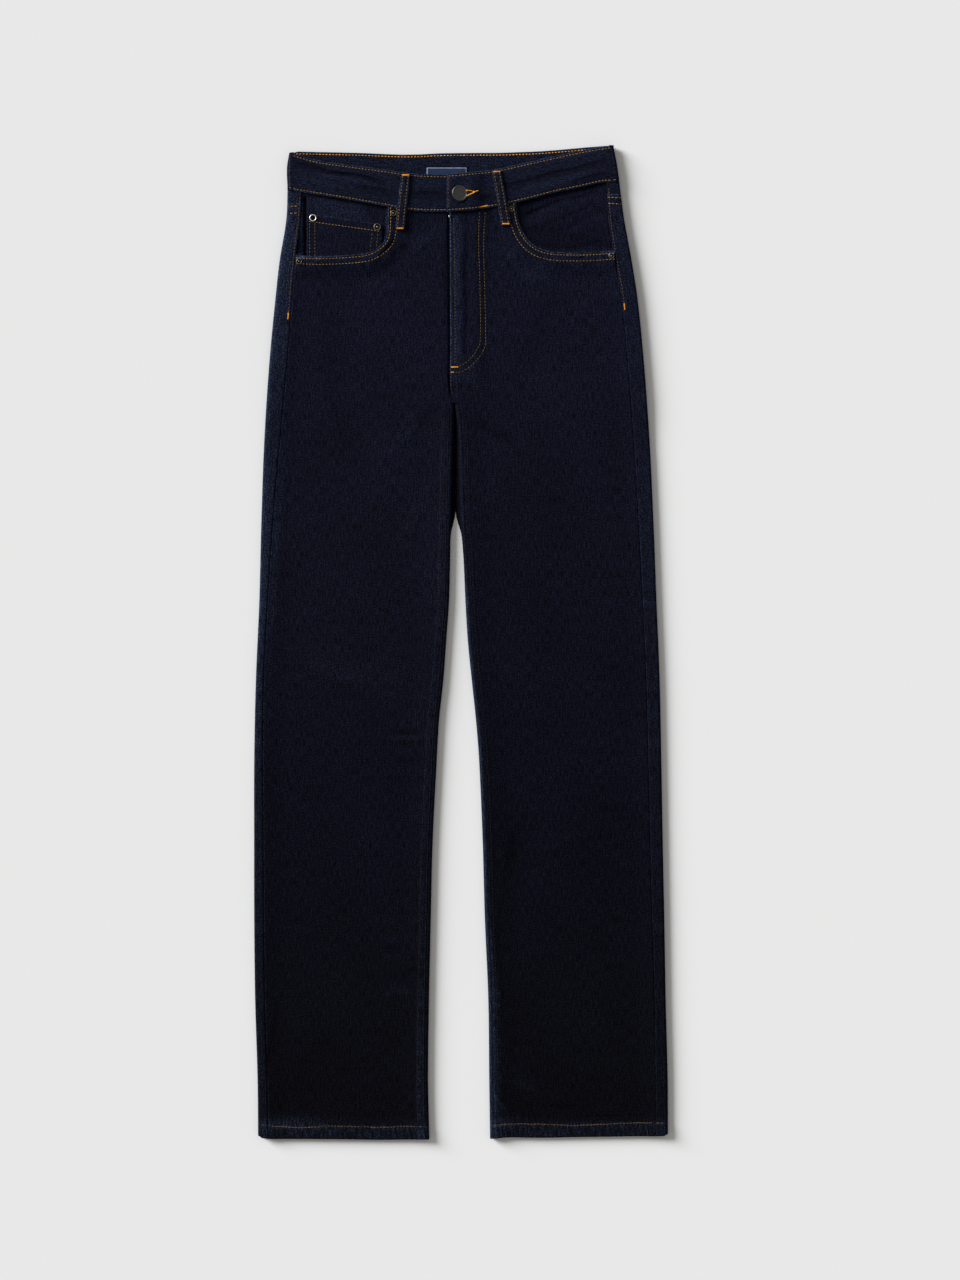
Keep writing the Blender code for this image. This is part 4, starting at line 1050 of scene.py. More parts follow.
def band_wear(side, x, up):
    top, foot = BAND_TOP[side](x) - up, up - BAND_FOOT[side](x)
    wear_and_painted_light = 0.12 * bell(top, 0.8) + 0.14 * bell(foot - 0.3, 0.7) + 0.015
    # Painted shade in the crease troughs, with a little wear on the ridges.
    wear_and_painted_light += rubbed(creased(BAND_CREASES[side], x, up))
    if side == "right":
        end = x - RIGHT_BAND_END
        wear_and_painted_light += 0.1 * bell(end - 0.3, 0.8) + 0.02 * bell(end - 3, 3)
    return np.clip(wear_and_painted_light, -1, 1)


def make_front_band(side, end):
    """Half of the front waistband, between its side seam and its end at the middle."""
    t = from_both_ends(BAND_DEPTH, 30)[:, None] / BAND_DEPTH
    start = EDGE[side](band_corner(side, t)) + INWARD[side] * (BAND_SEAM_IN + SEAM / 2)
    x = start + np.sign(end - start) * from_both_ends(np.abs(end - start)[:, 0], 110)
    up = mix(BAND_FOOT[side](x), BAND_TOP[side](x), t)
    outer = grid(x, up, band_face(side, x, up))
    inner = grid(x, up, WAIST_Z + band_lift(side, x) + 0.05)
    # Its warp runs up and down, and its slubs are drawn half as long as on the legs.
    grain = np.stack([up, 2 * x], axis=-1)
    wear_and_painted_light, node = band_wear(side, x, up), "waistband_front_" + side
    return cut("waistband_sewn_" + side, node, outer, inner, wear_and_painted_light, grain)


def make_back_band():
    """The back waistband, with both ends wrapped up round the fold edges."""
    outer, inner = [], []
    ends = len(FOLD_ANGLES) + 1
    for t in from_both_ends(BACK_BAND_DEPTH, 7) / BACK_BAND_DEPTH:
        ups = [float(band_corner(side, t)) for side in SIDE_NAMES]
        left, right = (float(EDGE[side](up)) for side, up in zip(SIDE_NAMES, ups))
        turned = BAND_SEAM_IN - SEAM / 2
        round_left = fold(left, 1, REST, BAND_RISE, FOLD_ANGLES)
        round_right = fold(right, -1, REST, BAND_RISE, FOLD_ANGLES[::-1])
        x = mix(round_left[-1, 0], round_right[0, 0], np.linspace(0, 1, 62)[1:-1])
        level = mix(BAND_FOOT["back"](x), BAND_TOP["back"](x), t)
        flat = np.stack([x, np.full(x.shape, REST)], axis=1)
        first, last = [(left + turned, REST + BAND_RISE)], [(right - turned, REST + BAND_RISE)]
        section = np.concatenate([first, round_left, flat, round_right, last])
        up = np.concatenate([np.full(ends, ups[0]), level, np.full(ends, ups[1])])
        inside = inset(section, -BAND)
        middle = slice(ends, -ends)
        inside[middle, 1] = back_band_face(inside[middle, 0], up[middle])
        outer.append(grid(section[:, 0], up, section[:, 1]))
        inner.append(grid(inside[:, 0], up, inside[:, 1]))
    outer = np.array(outer)
    wear_and_painted_light = 0.15 * bell(BAND_TOP["back"](outer[..., 0]) - outer[..., 1], 0.8) + 0.02
    grain, rests_on = outer[..., [1, 0]], ["belt_loop_back_sewn_centre"]
    return cut("waistband_sewn_back", "waistband_back", outer, np.array(inner), wear_and_painted_light, grain)


FACING_STEP = 0.25
FACING_STEPS = 400


def facing_floor(side, x):
    """Lower edge of a facing: the lowest level within reach of the pocket opening."""
    up = np.full(np.shape(x), POCKET_LINE[side][:, 1].min() - UNDERLAP)
    for _ in range(FACING_STEPS):
        up = up + FACING_STEP * (nearest(POCKET_LINE[side], x, up)[0] > UNDERLAP)
    return up


def make_facing(side):
    """The denim inside a pocket opening, from under the front's edge up to the waistband."""
    line = POCKET_LINE[side]
    far = line[-1, 0] + INWARD[side] * (UNDERLAP - 0.5)
    across = np.linspace(0, 1, 96)
    t = np.linspace(0, 1, 60)[:, None]
    x = mix(SIDE_SEAM[side](line[0, 1] - UNDERLAP), far, across)
    up = mix(facing_floor(side, x), BAND_FOOT[side](x) - SEAM, t)
    x = mix(SIDE_SEAM[side](up) + INWARD[side] * SEAM, far, across)
    up = mix(facing_floor(side, x), BAND_FOOT[side](x) - SEAM, t)
    face = facing_face(side, x, up)
    # Painted shade: the facing is painted darker where it sinks under the edges round it, and the right one
    # is a little darker all over.
    wear_and_painted_light = (0.025 if side == "left" else -0.06) - 0.3 * np.clip(facing_dip(side, x, up) - 0.8, 0, 2)
    outer, inner = grid(x, up, face), grid(x, up, face - THIN_CLOTH)
    name, node = "pocket_facing_sewn_" + side, "pocket_facing_" + side
    return cut(name, node, outer, inner, wear_and_painted_light)


def make_coin_pocket():
    line = POCKET_LINE["left"][: len(POCKET_LINE["left"]) * 3 // 4]
    t = from_both_ends(COIN_DEPTH, 6)[:, None] / COIN_DEPTH
    x = COIN_LEFT + from_both_ends(COIN_RIGHT - COIN_LEFT, 20) + 0 * t
    up = mix(np.interp(x, *line.T) - COIN_UNDERLAP, coin_top(x), t)
    wear_and_painted_light = 0.08 * bell(coin_top(x) - up, 0.8) + 0.03 * bell(x - COIN_LEFT, 0.8)
    wear_and_painted_light += 0.06 * bell(COIN_RIGHT - x, 0.8)
    outer = grid(x, up, coin_face(x, up))
    inner = grid(x, up, base_top("left", x, up) + SEAM + CLOTH - 0.1 - FINE_CLOTH)
    return cut("coin_pocket_sewn", "coin_pocket", outer, inner, np.clip(wear_and_painted_light, 0, 1))


def make_front_loop(side):
    loop, profile = FRONT_LOOPS[side], LOOP_PROFILE[side]
    across = from_both_ends(LOOP_WIDTH, 4) - LOOP_WIDTH / 2
    up = loop.foot + from_both_ends(loop.top - loop.foot, 30)[:, None] + 0 * across
    x = loop_middle(side, up) + across
    face = loop_face(side, x, up) + rolled(loop.top - up, 1.0, 0.6) + rolled(up - loop.foot, 1.0, 0.6)
    outer, inner = grid(x, up, face), grid(x, up, np.interp(up, *profile.T) + 0.1)
    wear_and_painted_light = 0.08 * bell(LOOP_WIDTH / 2 - 0.3 - np.abs(across), 0.7) + 0.015 * ripple(up, 3.6, 38) + 0.015
    name, node = "belt_loop_sewn_" + side, "belt_loop_front_" + side
    return cut(name, node, outer, inner, np.clip(wear_and_painted_light, 0, 1))


def make_patch(side):
    """A patch pocket on the hidden side, its face down on the surface."""
    half = PATCH_WIDTH / 2
    s = np.sort(np.concatenate([from_both_ends(2.0 * half, 30) / half - 1, [0.0]]))
    t = from_both_ends(PATCH_SIDE, 26)[:, None] / PATCH_SIDE
    foot = PATCH_SIDE + (PATCH_POINT - PATCH_SIDE) * (1 - np.abs(s))
    up = PATCH_TOP - foot * (1 - t)
    width = half - PATCH_TAPER * (1 - t)
    edge = np.minimum(width - np.abs(s) * width, np.minimum(PATCH_TOP - up, up - PATCH_TOP + foot))
    x = PATCH_CENTRE[side] + s * width
    outer, inner = grid(x, up, UNDER_CLEAR - 0.35 * rolled(edge, 1.1, 1.0)), grid(x, up, CLOTH)
    wear_and_painted_light = 0.6 * bell(edge, 0.9) + 0.08
    return cut("back_pocket_sewn_" + side, "back_pocket_" + side, outer, inner, wear_and_painted_light)


def make_back_loop(name, middle):
    low, high = BACK_LOOP_ENDS
    across = from_both_ends(LOOP_WIDTH, 4) - LOOP_WIDTH / 2
    up = low + from_both_ends(high - low, 24)[:, None]
    edge = LOOP_WIDTH / 2 - np.abs(across) + 0 * up
    x = middle + across
    outer, inner = grid(x, up, UNDER_CLEAR - 0.5 * rolled(edge, 1.1, 1.0)), grid(x, up + 0 * x, CLOTH)
    wear_and_painted_light, node = 0.8 * bell(edge, 0.8) + 0.1, "belt_loop_back_" + name
    return cut("belt_loop_back_sewn_" + name, node, outer, inner, wear_and_painted_light)


# Threads.

THREAD = 0.25  # radius of the topstitching thread
RING_AT = np.array([0.0, 0.1, 0.32, 0.68, 0.9, 1.0])
RING_SIZE = np.array([0.45, 0.85, 1.0, 1.0, 0.85, 0.45])
RING_LIFT = np.array([-0.7, 0.1, 0.45, 0.45, 0.1, -0.7])
THREAD_SIDES = 6


def laid_on(face, line, step=ROW_STEP):
    """A line laid on a face that is given over the plane: its points, and the face's normals there."""
    line, h = spaced(line, step), 0.6
    x, up = line.T
    slope_x = (face(x + h, up) - face(x - h, up)) / (2 * h)
    slope_up = (face(x, up + h) - face(x, up - h)) / (2 * h)
    normals = unit(np.stack([-slope_x, -slope_up, np.ones(x.shape)], axis=1))
    return np.column_stack([line, face(x, up)]), normals


def stitched(path, normals, length=None):
    """Starts, ends and normals of the stitches along a path, from which they stand up."""
    settings = bpy.context.scene.jeans_thread
    length, reach = length or settings.stitch / MM, reached(path)
    count = max(int(reach[-1] / (settings.pitch / MM)), 1)
    starts = (np.arange(count) + 0.5) * reach[-1] / count - length / 2
    upward = read(normals, reach, starts + length / 2)
    return read(path, reach, starts), read(path, reach, starts + length), upward


def satin(path, normals, width, spacing=0.5):
    """Close stitches across a path, as in a bar tack or round a buttonhole."""
    reach = reached(path)
    count = max(int(reach[-1] / spacing), 2)
    at = (np.arange(count) + 0.5) * reach[-1] / count
    middle, normal, ahead = (read(values, reach, at) for values in (path, normals, np.gradient(path, axis=0)))
    lean = 0.12 * width * np.where(np.arange(count) % 2, 1, -1)[:, None] * unit(ahead)
    half = unit(np.cross(normal, ahead)) * width / 2 + lean
    return middle - half, middle + half, normal


def sew(name, rows, material, size=1.0):
    """One mesh of all the stitches in some rows, each (starts, ends, normals)."""
    starts, ends, normals = (np.concatenate(part) for part in zip(*rows))
    along = ends - starts
    side = unit(np.cross(normals, along))
    normals = unit(np.cross(along, side))
    a = np.arange(THREAD_SIDES)
    b = (a + 1) % THREAD_SIDES
    turn = 2 * pi * a[:, None] / THREAD_SIDES
    ring = np.cos(turn) * side[:, None, None] + np.sin(turn) * normals[:, None, None]
    lift = normals[:, None] * (THREAD * size * RING_LIFT)[:, None]
    middle = starts[:, None] + along[:, None] * RING_AT[:, None] + lift
    points = middle[:, :, None] + ring * (THREAD * size * RING_SIZE)[:, None, None]
    first = THREAD_SIDES * np.arange(len(RING_AT) - 1)[:, None]
    after = first + THREAD_SIDES
    quads = np.stack([first + a, first + b, after + b, after + a], axis=-1).reshape(-1, 4)
    caps = np.stack([a[::-1], after[-1] + a])
    base = THREAD_SIDES * len(RING_AT) * np.arange(len(starts))[:, None, None]
    faces = [face for kind in (quads, caps) for face in (kind + base).reshape(-1, kind.shape[1]).tolist()]
    return make(name, points.reshape(-1, 3), faces, material)


def tack(face, start, end, width):
    """A bar tack between two points on a face."""
    path, normals = laid_on(face, [start, end], 0.5)
    return satin(path, normals, width)


# Materials.


def add(tree, kind, inputs=None, output=0, **settings):
    """Adds a node with its settings, its values and its links, and gives one of its outputs."""
    node = tree.nodes.new(kind)
    for name, value in settings.items():
        setattr(node, name, value)
    for socket, value in (inputs or {}).items():
        if isinstance(value, bpy.types.NodeSocket):
            tree.links.new(value, node.inputs[socket])
        else:
            node.inputs[socket].default_value = value
    return node.outputs[output]


def new_material(name, colour, values):
    """A material of one shader, with its even values set on the shader itself."""
    material = bpy.data.materials.new(name)
    material.use_nodes = True
    tree = material.node_tree
    shader = tree.nodes["Principled BSDF"]
    shader.inputs["Base Color"].default_value = (*colour, 1)
    for socket, value in values.items():
        shader.inputs[socket].default_value = value
    return material, tree, shader


def pattern(tree, at, width, length, detail=1.0):
    """Noise whose grains are about width by length millimetres, from 0 to 1."""
    scale = [1 / (size * MM) for size in (width, length, width)]
    scaled = add(tree, "ShaderNodeMapping", {"Vector": at, "Scale": scale})
    return add(tree, "ShaderNodeTexNoise", {"Vector": scaled, "Scale": 1.0, "Detail": detail})


def spread(tree, noise, low, high):
    """Noise, which keeps near its middle, spread out to run from low to high."""
    ends = {"From Min": 0.3, "From Max": 0.7, "To Min": low, "To Max": high}
    return add(tree, "ShaderNodeMapRange", {"Value": noise, **ends})


def dressed(material, tree, shader, shade, relief, strength, depth):
    """A material with its colour, and with a relief whose depth is in millimetres."""
    bump = add(tree, "ShaderNodeBump", {"Height": relief, "Strength": strength, "Distance": depth * MM})
    tree.links.new(shade, shader.inputs["Base Color"])
    tree.links.new(bump, shader.inputs["Normal"])
    return material


def rope_dyed_cotton_denim(name):
    """Raw denim: cotton warp rope-dyed with indigo, woven as a twill over a paler weft, never washed."""
    cloth = bpy.context.scene.jeans_cloth
    # Cotton yarn scatters light and indigo soaks it up: matt and nearly black, with hardly any shine.
    values = {"Roughness": 0.9, "Specular IOR Level": 0.04}
    material, tree, shader = new_material(name, cloth.warp_at_waist, values)
    grain = add(tree, "ShaderNodeUVMap", uv_map="cloth")
    # Ring-spun warp of uneven thickness. Real yarns are 0.4 mm wide, drawn here three times as wide to show.
    slubs = pattern(tree, grain, 1.2, 10.0, 2.0)
    # The pale weft peeps out between the warps, at the same coarser scale.
    flecks = pattern(tree, grain, 1.35, 1.45)
    # Dye that took unevenly, over a hand's width.
    clouds = pattern(tree, grain, 60.0, 90.0, 2.0)
    # Painted shade: the cloth is painted darker towards the hems, in place of light that falls off there.
    place_on = add(tree, "ShaderNodeTexCoord", output="Object")
    level = add(tree, "ShaderNodeSeparateXYZ", {0: place_on}, "Y")
    height = add(tree, "ShaderNodeMapRange", {"Value": level, "From Min": -0.5, "From Max": 0.35})
    warps_with_painted_shade = {6: (*cloth.warp_at_hem, 1), 7: (*cloth.warp_at_waist, 1)}
    warp = add(tree, "ShaderNodeMix", {0: height, **warps_with_painted_shade}, 2, data_type="RGBA")
    # Along folds and edges the warp's white core shows through, and on the folds that face the window the
    # paler colour is painted light.
    wear_and_painted_light = add(tree, "ShaderNodeAttribute", output="Fac", attribute_name="wear_and_painted_light")
    bare = spread(tree, flecks, 0.55, 1.25)
    core = add(tree, "ShaderNodeMath", {0: wear_and_painted_light, 1: bare}, operation="MULTIPLY")
    warp = add(tree, "ShaderNodeMix", {0: core, 6: warp, 7: (*cloth.rubbed, 1)}, 2, data_type="RGBA")
    # Below 0 the attribute is painted shade: the cloth is painted darker in crease troughs, the ditch by the
    # fly, the sunk facings and the cleft at the fork.
    deep = add(tree, "ShaderNodeMapRange", {"Value": wear_and_painted_light, "From Min": -0.6, "From Max": 0.0, "To Min": 0.25})
    tone = spread(tree, slubs, 0.3, 1.7)
    for other in (spread(tree, flecks, 0.0, 2.0), spread(tree, clouds, 0.88, 1.12), deep):
        tone = add(tree, "ShaderNodeMath", {0: tone, 1: other}, operation="MULTIPLY")
    shade = add(tree, "ShaderNodeVectorMath", {0: warp, "Scale": tone}, operation="SCALE")
    yarns = add(tree, "ShaderNodeMath", {0: slubs, 1: flecks}, operation="ADD")
    return dressed(material, tree, shader, shade, yarns, 0.5, 0.3)


def spun_polyester_thread(name, colour):
    """Core-spun polyester sewing thread, twisted from three plies: a soft satin."""
    material, tree, shader = new_material(name, colour, {"Roughness": 0.6, "Specular IOR Level": 0.3})
    place_on = add(tree, "ShaderNodeTexCoord", output="Object")
    # Plies catch the light in turn. They are 0.3 mm apart, drawn at twice that.
    plies = pattern(tree, place_on, 0.6, 0.6)
    # Each stitch pulls into the cloth a little differently.
    pulls = pattern(tree, place_on, 4.0, 4.0)
    tones = {0: spread(tree, plies, 0.75, 1.25), 1: spread(tree, pulls, 0.6, 1.4)}
    tone = add(tree, "ShaderNodeMath", tones, operation="MULTIPLY")
    shade = add(tree, "ShaderNodeVectorMath", {0: colour, "Scale": tone}, operation="SCALE")
    return dressed(material, tree, shader, shade, plies, 0.4, 0.15)


THREADS = {"gold": "topstitch", "sunk": "sunk", "chain": "chain", "orange": "tacks", "brown": "seams"}


def thread(kind):
    """The material of one of the threads, made once."""
    name, settings = kind + "_thread", bpy.context.scene.jeans_thread
    return bpy.data.materials.get(name) or spun_polyester_thread(name, getattr(settings, THREADS[kind]))


def cast_metal(name, colour, tarnish, roughness):
    """Plated metal, tumbled after casting: bright where it is rubbed, dull where tarnish settles."""
    material, tree, shader = new_material(name, colour, {"Metallic": 1.0, "Roughness": roughness})
    place_on = add(tree, "ShaderNodeTexCoord", output="Object")
    # Tarnish in spots about a millimetre across.
    spots = spread(tree, pattern(tree, place_on, 1.1, 1.1, 3.0), 0.0, 1.0)
    shade = add(tree, "ShaderNodeMix", {0: spots, 6: (*colour, 1), 7: (*tarnish, 1)}, 2, data_type="RGBA")
    ends = {"To Min": roughness - 0.06, "To Max": roughness + 0.15}
    tree.links.new(add(tree, "ShaderNodeMapRange", {"Value": spots, **ends}), shader.inputs["Roughness"])
    return dressed(material, tree, shader, shade, spots, 0.25, 0.08)


def antique_nickel_plate(name):
    return cast_metal(name, bpy.context.scene.jeans_trims.rivet_metal, linear("#5b5347"), 0.42)


# A brighter copy of the rivet metal: painted highlight on one rivet and on the zip's pull.
def polished_nickel_plate(name):
    return cast_metal(name, linear("#f4f2ee"), linear("#d9d4cb"), 0.4)


def blackened_zinc(name):
    return cast_metal(name, bpy.context.scene.jeans_trims.button_metal, linear("#484745"), 0.42)


def oxide_black_metal(name):
    """Never reached by the tumbling, so the oxide stays black and dull."""
    return cast_metal(name, linear("#1a1612"), linear("#0b0a09"), 0.6)


def woven_damask_label(name):
    """A polyester label woven fine and close, paler at its border: smooth, with a faint sheen."""
    trims = bpy.context.scene.jeans_trims
    material, tree, shader = new_material(name, trims.label, {"Roughness": 0.7, "Specular IOR Level": 0.2})
    # Picks are 0.2 mm apart, drawn at 0.7 mm.
    picks = pattern(tree, add(tree, "ShaderNodeUVMap", uv_map="cloth"), 5.0, 0.7)
    border = add(tree, "ShaderNodeAttribute", output="Fac", attribute_name="wear_and_painted_light")
    colours = {6: (*trims.label, 1), 7: (*trims.label_border, 1)}
    colour = add(tree, "ShaderNodeMix", {0: border, **colours}, 2, data_type="RGBA")
    tone = spread(tree, picks, 0.7, 1.3)
    shade = add(tree, "ShaderNodeVectorMath", {0: colour, "Scale": tone}, operation="SCALE")
    return dressed(material, tree, shader, shade, picks, 0.3, 0.1)


def woven_zip_tape(name):
    """Twill-woven polyester tape, dyed navy: flat and faintly ribbed."""
    colour = linear("#141826")
    material, tree, shader = new_material(name, colour, {"Roughness": 0.75, "Specular IOR Level": 0.15})
    # Ribs 0.5 mm apart.
    ribs = pattern(tree, add(tree, "ShaderNodeTexCoord", output="Object"), 0.5, 3.0)
    tone = spread(tree, ribs, 0.7, 1.3)
    shade = add(tree, "ShaderNodeVectorMath", {0: colour, "Scale": tone}, operation="SCALE")
    return dressed(material, tree, shader, shade, ribs, 0.3, 0.1)


def finish(maker):
    """The material that a function makes, made once and named after it."""
    return bpy.data.materials.get(maker.__name__) or maker(maker.__name__)


def matt_background_paper(name):
    """Seamless background paper: smooth, matt and pale, with a barely visible grain."""
    colour = bpy.context.scene.jeans_stage.floor
    material, tree, shader = new_material(name, colour, {"Roughness": 1.0, "Specular IOR Level": 0.0})
    # Paper fibres, which only roughen the surface.
    fibres = pattern(tree, add(tree, "ShaderNodeTexCoord", output="Object"), 2.0, 2.0)
    bump = add(tree, "ShaderNodeBump", {"Height": fibres, "Strength": 0.02, "Distance": 0.05 * MM})
    tree.links.new(bump, shader.inputs["Normal"])
    return material


# Trims.


def lathe(name, profile, sides, material, middle, tilt=0.0, inlay=None):
    """A turned piece on a middle point. Its profile, (radius, height), runs up from the axis's lower end."""
    turn = np.arange(sides) * 2 * pi / sides
    points = [(0.0, 0.0, profile[0][1])]
    for radius, height in profile[1:-1]:
        points += [(radius * cos(a), radius * sin(a), height) for a in turn]
    points.append((0.0, 0.0, profile[-1][1]))
    lean = np.array([[cos(tilt), 0, sin(tilt)], [0, 1, 0], [-sin(tilt), 0, cos(tilt)]])
    points = np.array(points) @ lean.T + np.array(middle)
    rings = len(profile) - 2
    around = np.arange(sides)
    after = (around + 1) % sides
    faces = np.stack([0 * around, 1 + after, 1 + around], axis=1).tolist()
    for ring in range(rings - 1):
        a, b = 1 + ring * sides, 1 + (ring + 1) * sides
        faces += np.stack([a + around, a + after, b + after, b + around], axis=1).tolist()
    last = 1 + (rings - 1) * sides
    faces += np.stack([last + around, last + after, 0 * around + len(points) - 1], axis=1).tolist()
    piece = make(name, points, faces, material, sharp=40)
    if inlay:
        dark, low, high = inlay
        piece.data.materials.append(dark)
        for face in piece.data.polygons:
            reach = hypot(face.center.x - middle[0] * MM, face.center.y - (middle[1] - LENGTH / 2) * MM)
            if low * MM < reach < high * MM and face.center.z > middle[2] * MM:
                face.material_index = 1
    return piece


# Half sections: the radius in parts of the whole, and the height in millimetres.
RIVET_SHAPE = (
    (0, 0), (0.95, 0), (1, 0.15), (1, 0.45), (0.97, 0.74), (0.92, 0.92), (0.86, 0.97), (0.8, 0.93),
    (0.74, 0.76), (0.7, 0.5), (0.66, 0.22), (0.62, 0.08), (0.36, 0.06), (0.32, 0.32), (0.25, 0.54),
    (0.13, 0.66), (0, 0.7),
)
BUTTON_SHAPE = (
    (0, 0), (0.9, 0), (0.97, 0.35), (1, 0.9), (0.995, 1.4), (0.97, 1.8), (0.93, 2.02), (0.88, 2.05),
    (0.84, 1.9), (0.81, 1.68), (0.79, 1.6), (0.6, 1.68), (0.35, 1.74), (0, 1.76),
)
SHANK_SHAPE = ((0, 0), (0.9, 0), (1, 0.3), (1, 2.4), (0, 2.4))
SHANK_RADIUS = 2.3
SHANK_STRETCH = 1.3
CAP_SHIFT = Point(-0.3, -1.4)  # the cap hangs a little to one side of its shank
RIVET_SUNK = 0.12  # how deep a rivet's foot presses into the cloth
SEAT_POINTS = 13
# The dark ring in a rivet's hollow, from its boss to its rim, in parts of the radius.
DITCH = (0.33, 0.8)
WIDE_DITCH = (0.0, 0.68)  # in the one rivet that is bright all over its rim


def make_rivets():
    trims = bpy.context.scene.jeans_trims
    for name, at in RIVETS.items():
        coin, bright = "coin" in name, name == "rivet_coin_left"
        radius = (trims.coin_rivet_radius if coin else trims.rivet_radius) / MM
        turn = np.linspace(0, 2 * pi, SEAT_POINTS)
        x, up = at.x + radius * np.cos(turn), at.up + radius * np.sin(turn)
        seat = coin_face(x, up) if coin else front_face("left" if "left" in name else "right", x, up)
        middle = (at.x, at.up, float(np.sort(seat)[-4]) - RIVET_SUNK)
        # Painted highlight: the coin pocket's left rivet gets a brighter copy of the rivet metal.
        metal = finish(polished_nickel_plate if bright else antique_nickel_plate)
        boss, rim = WIDE_DITCH if bright else DITCH
        ditch = (finish(oxide_black_metal), boss * radius, rim * radius)
        profile = [(a * radius, b) for a, b in RIVET_SHAPE]
        cap = lathe("cap_" + name, profile, 36, metal, middle, inlay=ditch)
        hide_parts(name)


def make_button():
    trims, metal = bpy.context.scene.jeans_trims, finish(blackened_zinc)
    profile = [(a * trims.button_radius / MM, b) for a, b in BUTTON_SHAPE]
    middle = (BUTTON.x + CAP_SHIFT.x, BUTTON.up + CAP_SHIFT.up, WAIST_Z + 2 * BAND + 2 * SEAM - 0.1)
    cap = lathe("button_cap", profile, 72, metal, middle, trims.button_tilt)
    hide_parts("waist_button")
    profile = [(a * SHANK_RADIUS, b * SHANK_STRETCH) for a, b in SHANK_SHAPE]
    shank = lathe("button_shank", profile, 32, metal, (BUTTON.x, BUTTON.up, WAIST_Z + BAND + SEAM))


def make_label():
    low_x, low_up, high_x, high_up = LABEL
    x = low_x + from_both_ends(high_x - low_x, 14)
    up = low_up + from_both_ends(high_up - low_up, 8)[:, None]
    edge = np.minimum(np.minimum(x - low_x, high_x - x), np.minimum(up - low_up, high_up - up))
    border = smooth(0.05, 0.2, edge) * (1 - smooth(0.7, 0.95, edge))
    face = REST + BAND + SEAM + 0.75 + 0.1 * ripple(x, 17, 31) + rolled(edge, 0.6, 0.3)
    outer, inner = grid(x, up, face), grid(x, up, face - LABEL_CLOTH)
    return cut(
        "label_woven", "waist_label", outer, inner, border,
        maker=woven_damask_label,
    )


LABEL_CLOTH = 0.6
TAPE = 0.7
# Low x, low level, high x, high level: of the zip's tapes and of its slider.
ZIP = (-1.8, 836.0, 12.2, 975.0)
SLIDER = (1.0, 977.0, 9.5, 989.0)
PULL_END = -13.1
COIL_WIDTH, COIL_SPACING = 4.2, 1.2


def plate(name, outline, low, high, material, bevel):
    """A flat metal piece with soft edges."""
    count = len(outline)
    points = [(x, up, low) for x, up in outline] + [(x, up, high) for x, up in outline]
    faces = [tuple(range(count)), tuple(range(count, 2 * count))]
    faces += [(i, (i + 1) % count, (i + 1) % count + count, i + count) for i in range(count)]
    piece = make(name, points, faces, material)
    soft = piece.modifiers.new("soft_edges", "BEVEL")
    soft.width = bevel * MM
    soft.segments = 3
    soft.limit_method = "ANGLE"
    return piece


def make_zip():
    """The closed zip behind the fly: two tapes, a coil and the slider with its pull, whose end peeps out."""
    low_x, low_up, high_x, high_up = ZIP
    middle, top = (low_x + high_x) / 2, REST + LEG_RISE
    x = low_x + from_both_ends(high_x - low_x, 4)
    up = np.linspace(low_up, high_up, 60)[:, None]
    face = top - 0.5 + 0.08 * ripple(up, 8, 33)
    cut(
        "zip_tape_woven", "fly_zip", grid(x, up, face), grid(x, up, face - TAPE), 0.0,
        maker=woven_zip_tape,
    )
    path = laid_on(lambda a, b: 0 * a + top - 0.45, [(middle, low_up + 2), (middle, high_up - 2)], 1.0)
    coil = sew("zip_coil", [satin(*path, COIL_WIDTH, COIL_SPACING)], finish(woven_zip_tape), 1.2)
    x0, up0, x1, up1 = SLIDER
    waist = 0.22 * (x1 - x0)
    outline = [(x0 + waist, up0), (x1 - waist, up0), (x1, up1 - 4)]
    outline += [(x1 - 1, up1), (x0 + 1, up1), (x0, up1 - 4)]
    slider = plate("slider_body", outline, top - 1.9, top - 0.1, finish(antique_nickel_plate), 0.4)
    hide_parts("zip_slider")
    level = up1 - 1.2
    outline = [(x0 + 3, level - 2), (x0 + 3, level + 2), (PULL_END, level + 1.1), (PULL_END, level - 1.1)]
    # Painted highlight: the pull is a brighter copy of the slider's metal.
    pull = plate("slider_pull", outline, top + 0.05, top + 0.45, finish(polished_nickel_plate), 0.15)


# Stitching.


def down_side(height, line, step=ROW_STEP):
    """A line laid under a piece that faces down, at an even height."""
    line = spaced(line, step)
    return np.column_stack([line, np.full(len(line), height)]), np.tile([0.0, 0.0, -1.0], (len(line), 1))


def row(face, line, length=None):
    return stitched(*laid_on(face, line), length)


def hidden_row(height, *line):
    return stitched(*down_side(height, line))


def toe_face(side, x, up):
    """The back panel's strip between the inseam and the inner fold edge."""
    low = under_z(up)
    half = (FOLD_RISE + rest(up) - low + hem_ply(side, up)) / 2
    inside = np.clip(half - np.abs(x - INNER_EDGE[side](up)), 0, half)
    return low + half + np.sqrt(half**2 - inside**2)


def fold_band_face(side, x, up):
    """The back waistband where it comes round a fold edge."""
    half = BAND_RISE / 2
    inside = np.clip(half - np.abs(x - EDGE[side](up)), 0, half)
    return REST + half + np.sqrt(half**2 - inside**2)


# Twin rows on the hidden side, from the edges of the patch pockets, the yoke seams and the centre seam.
PATCH_ROWS = (2.6, 8.8)
YOKE_SEAM_ROWS = (3.0, 9.2)
CENTRE_ROWS = (2.4, 8.6)
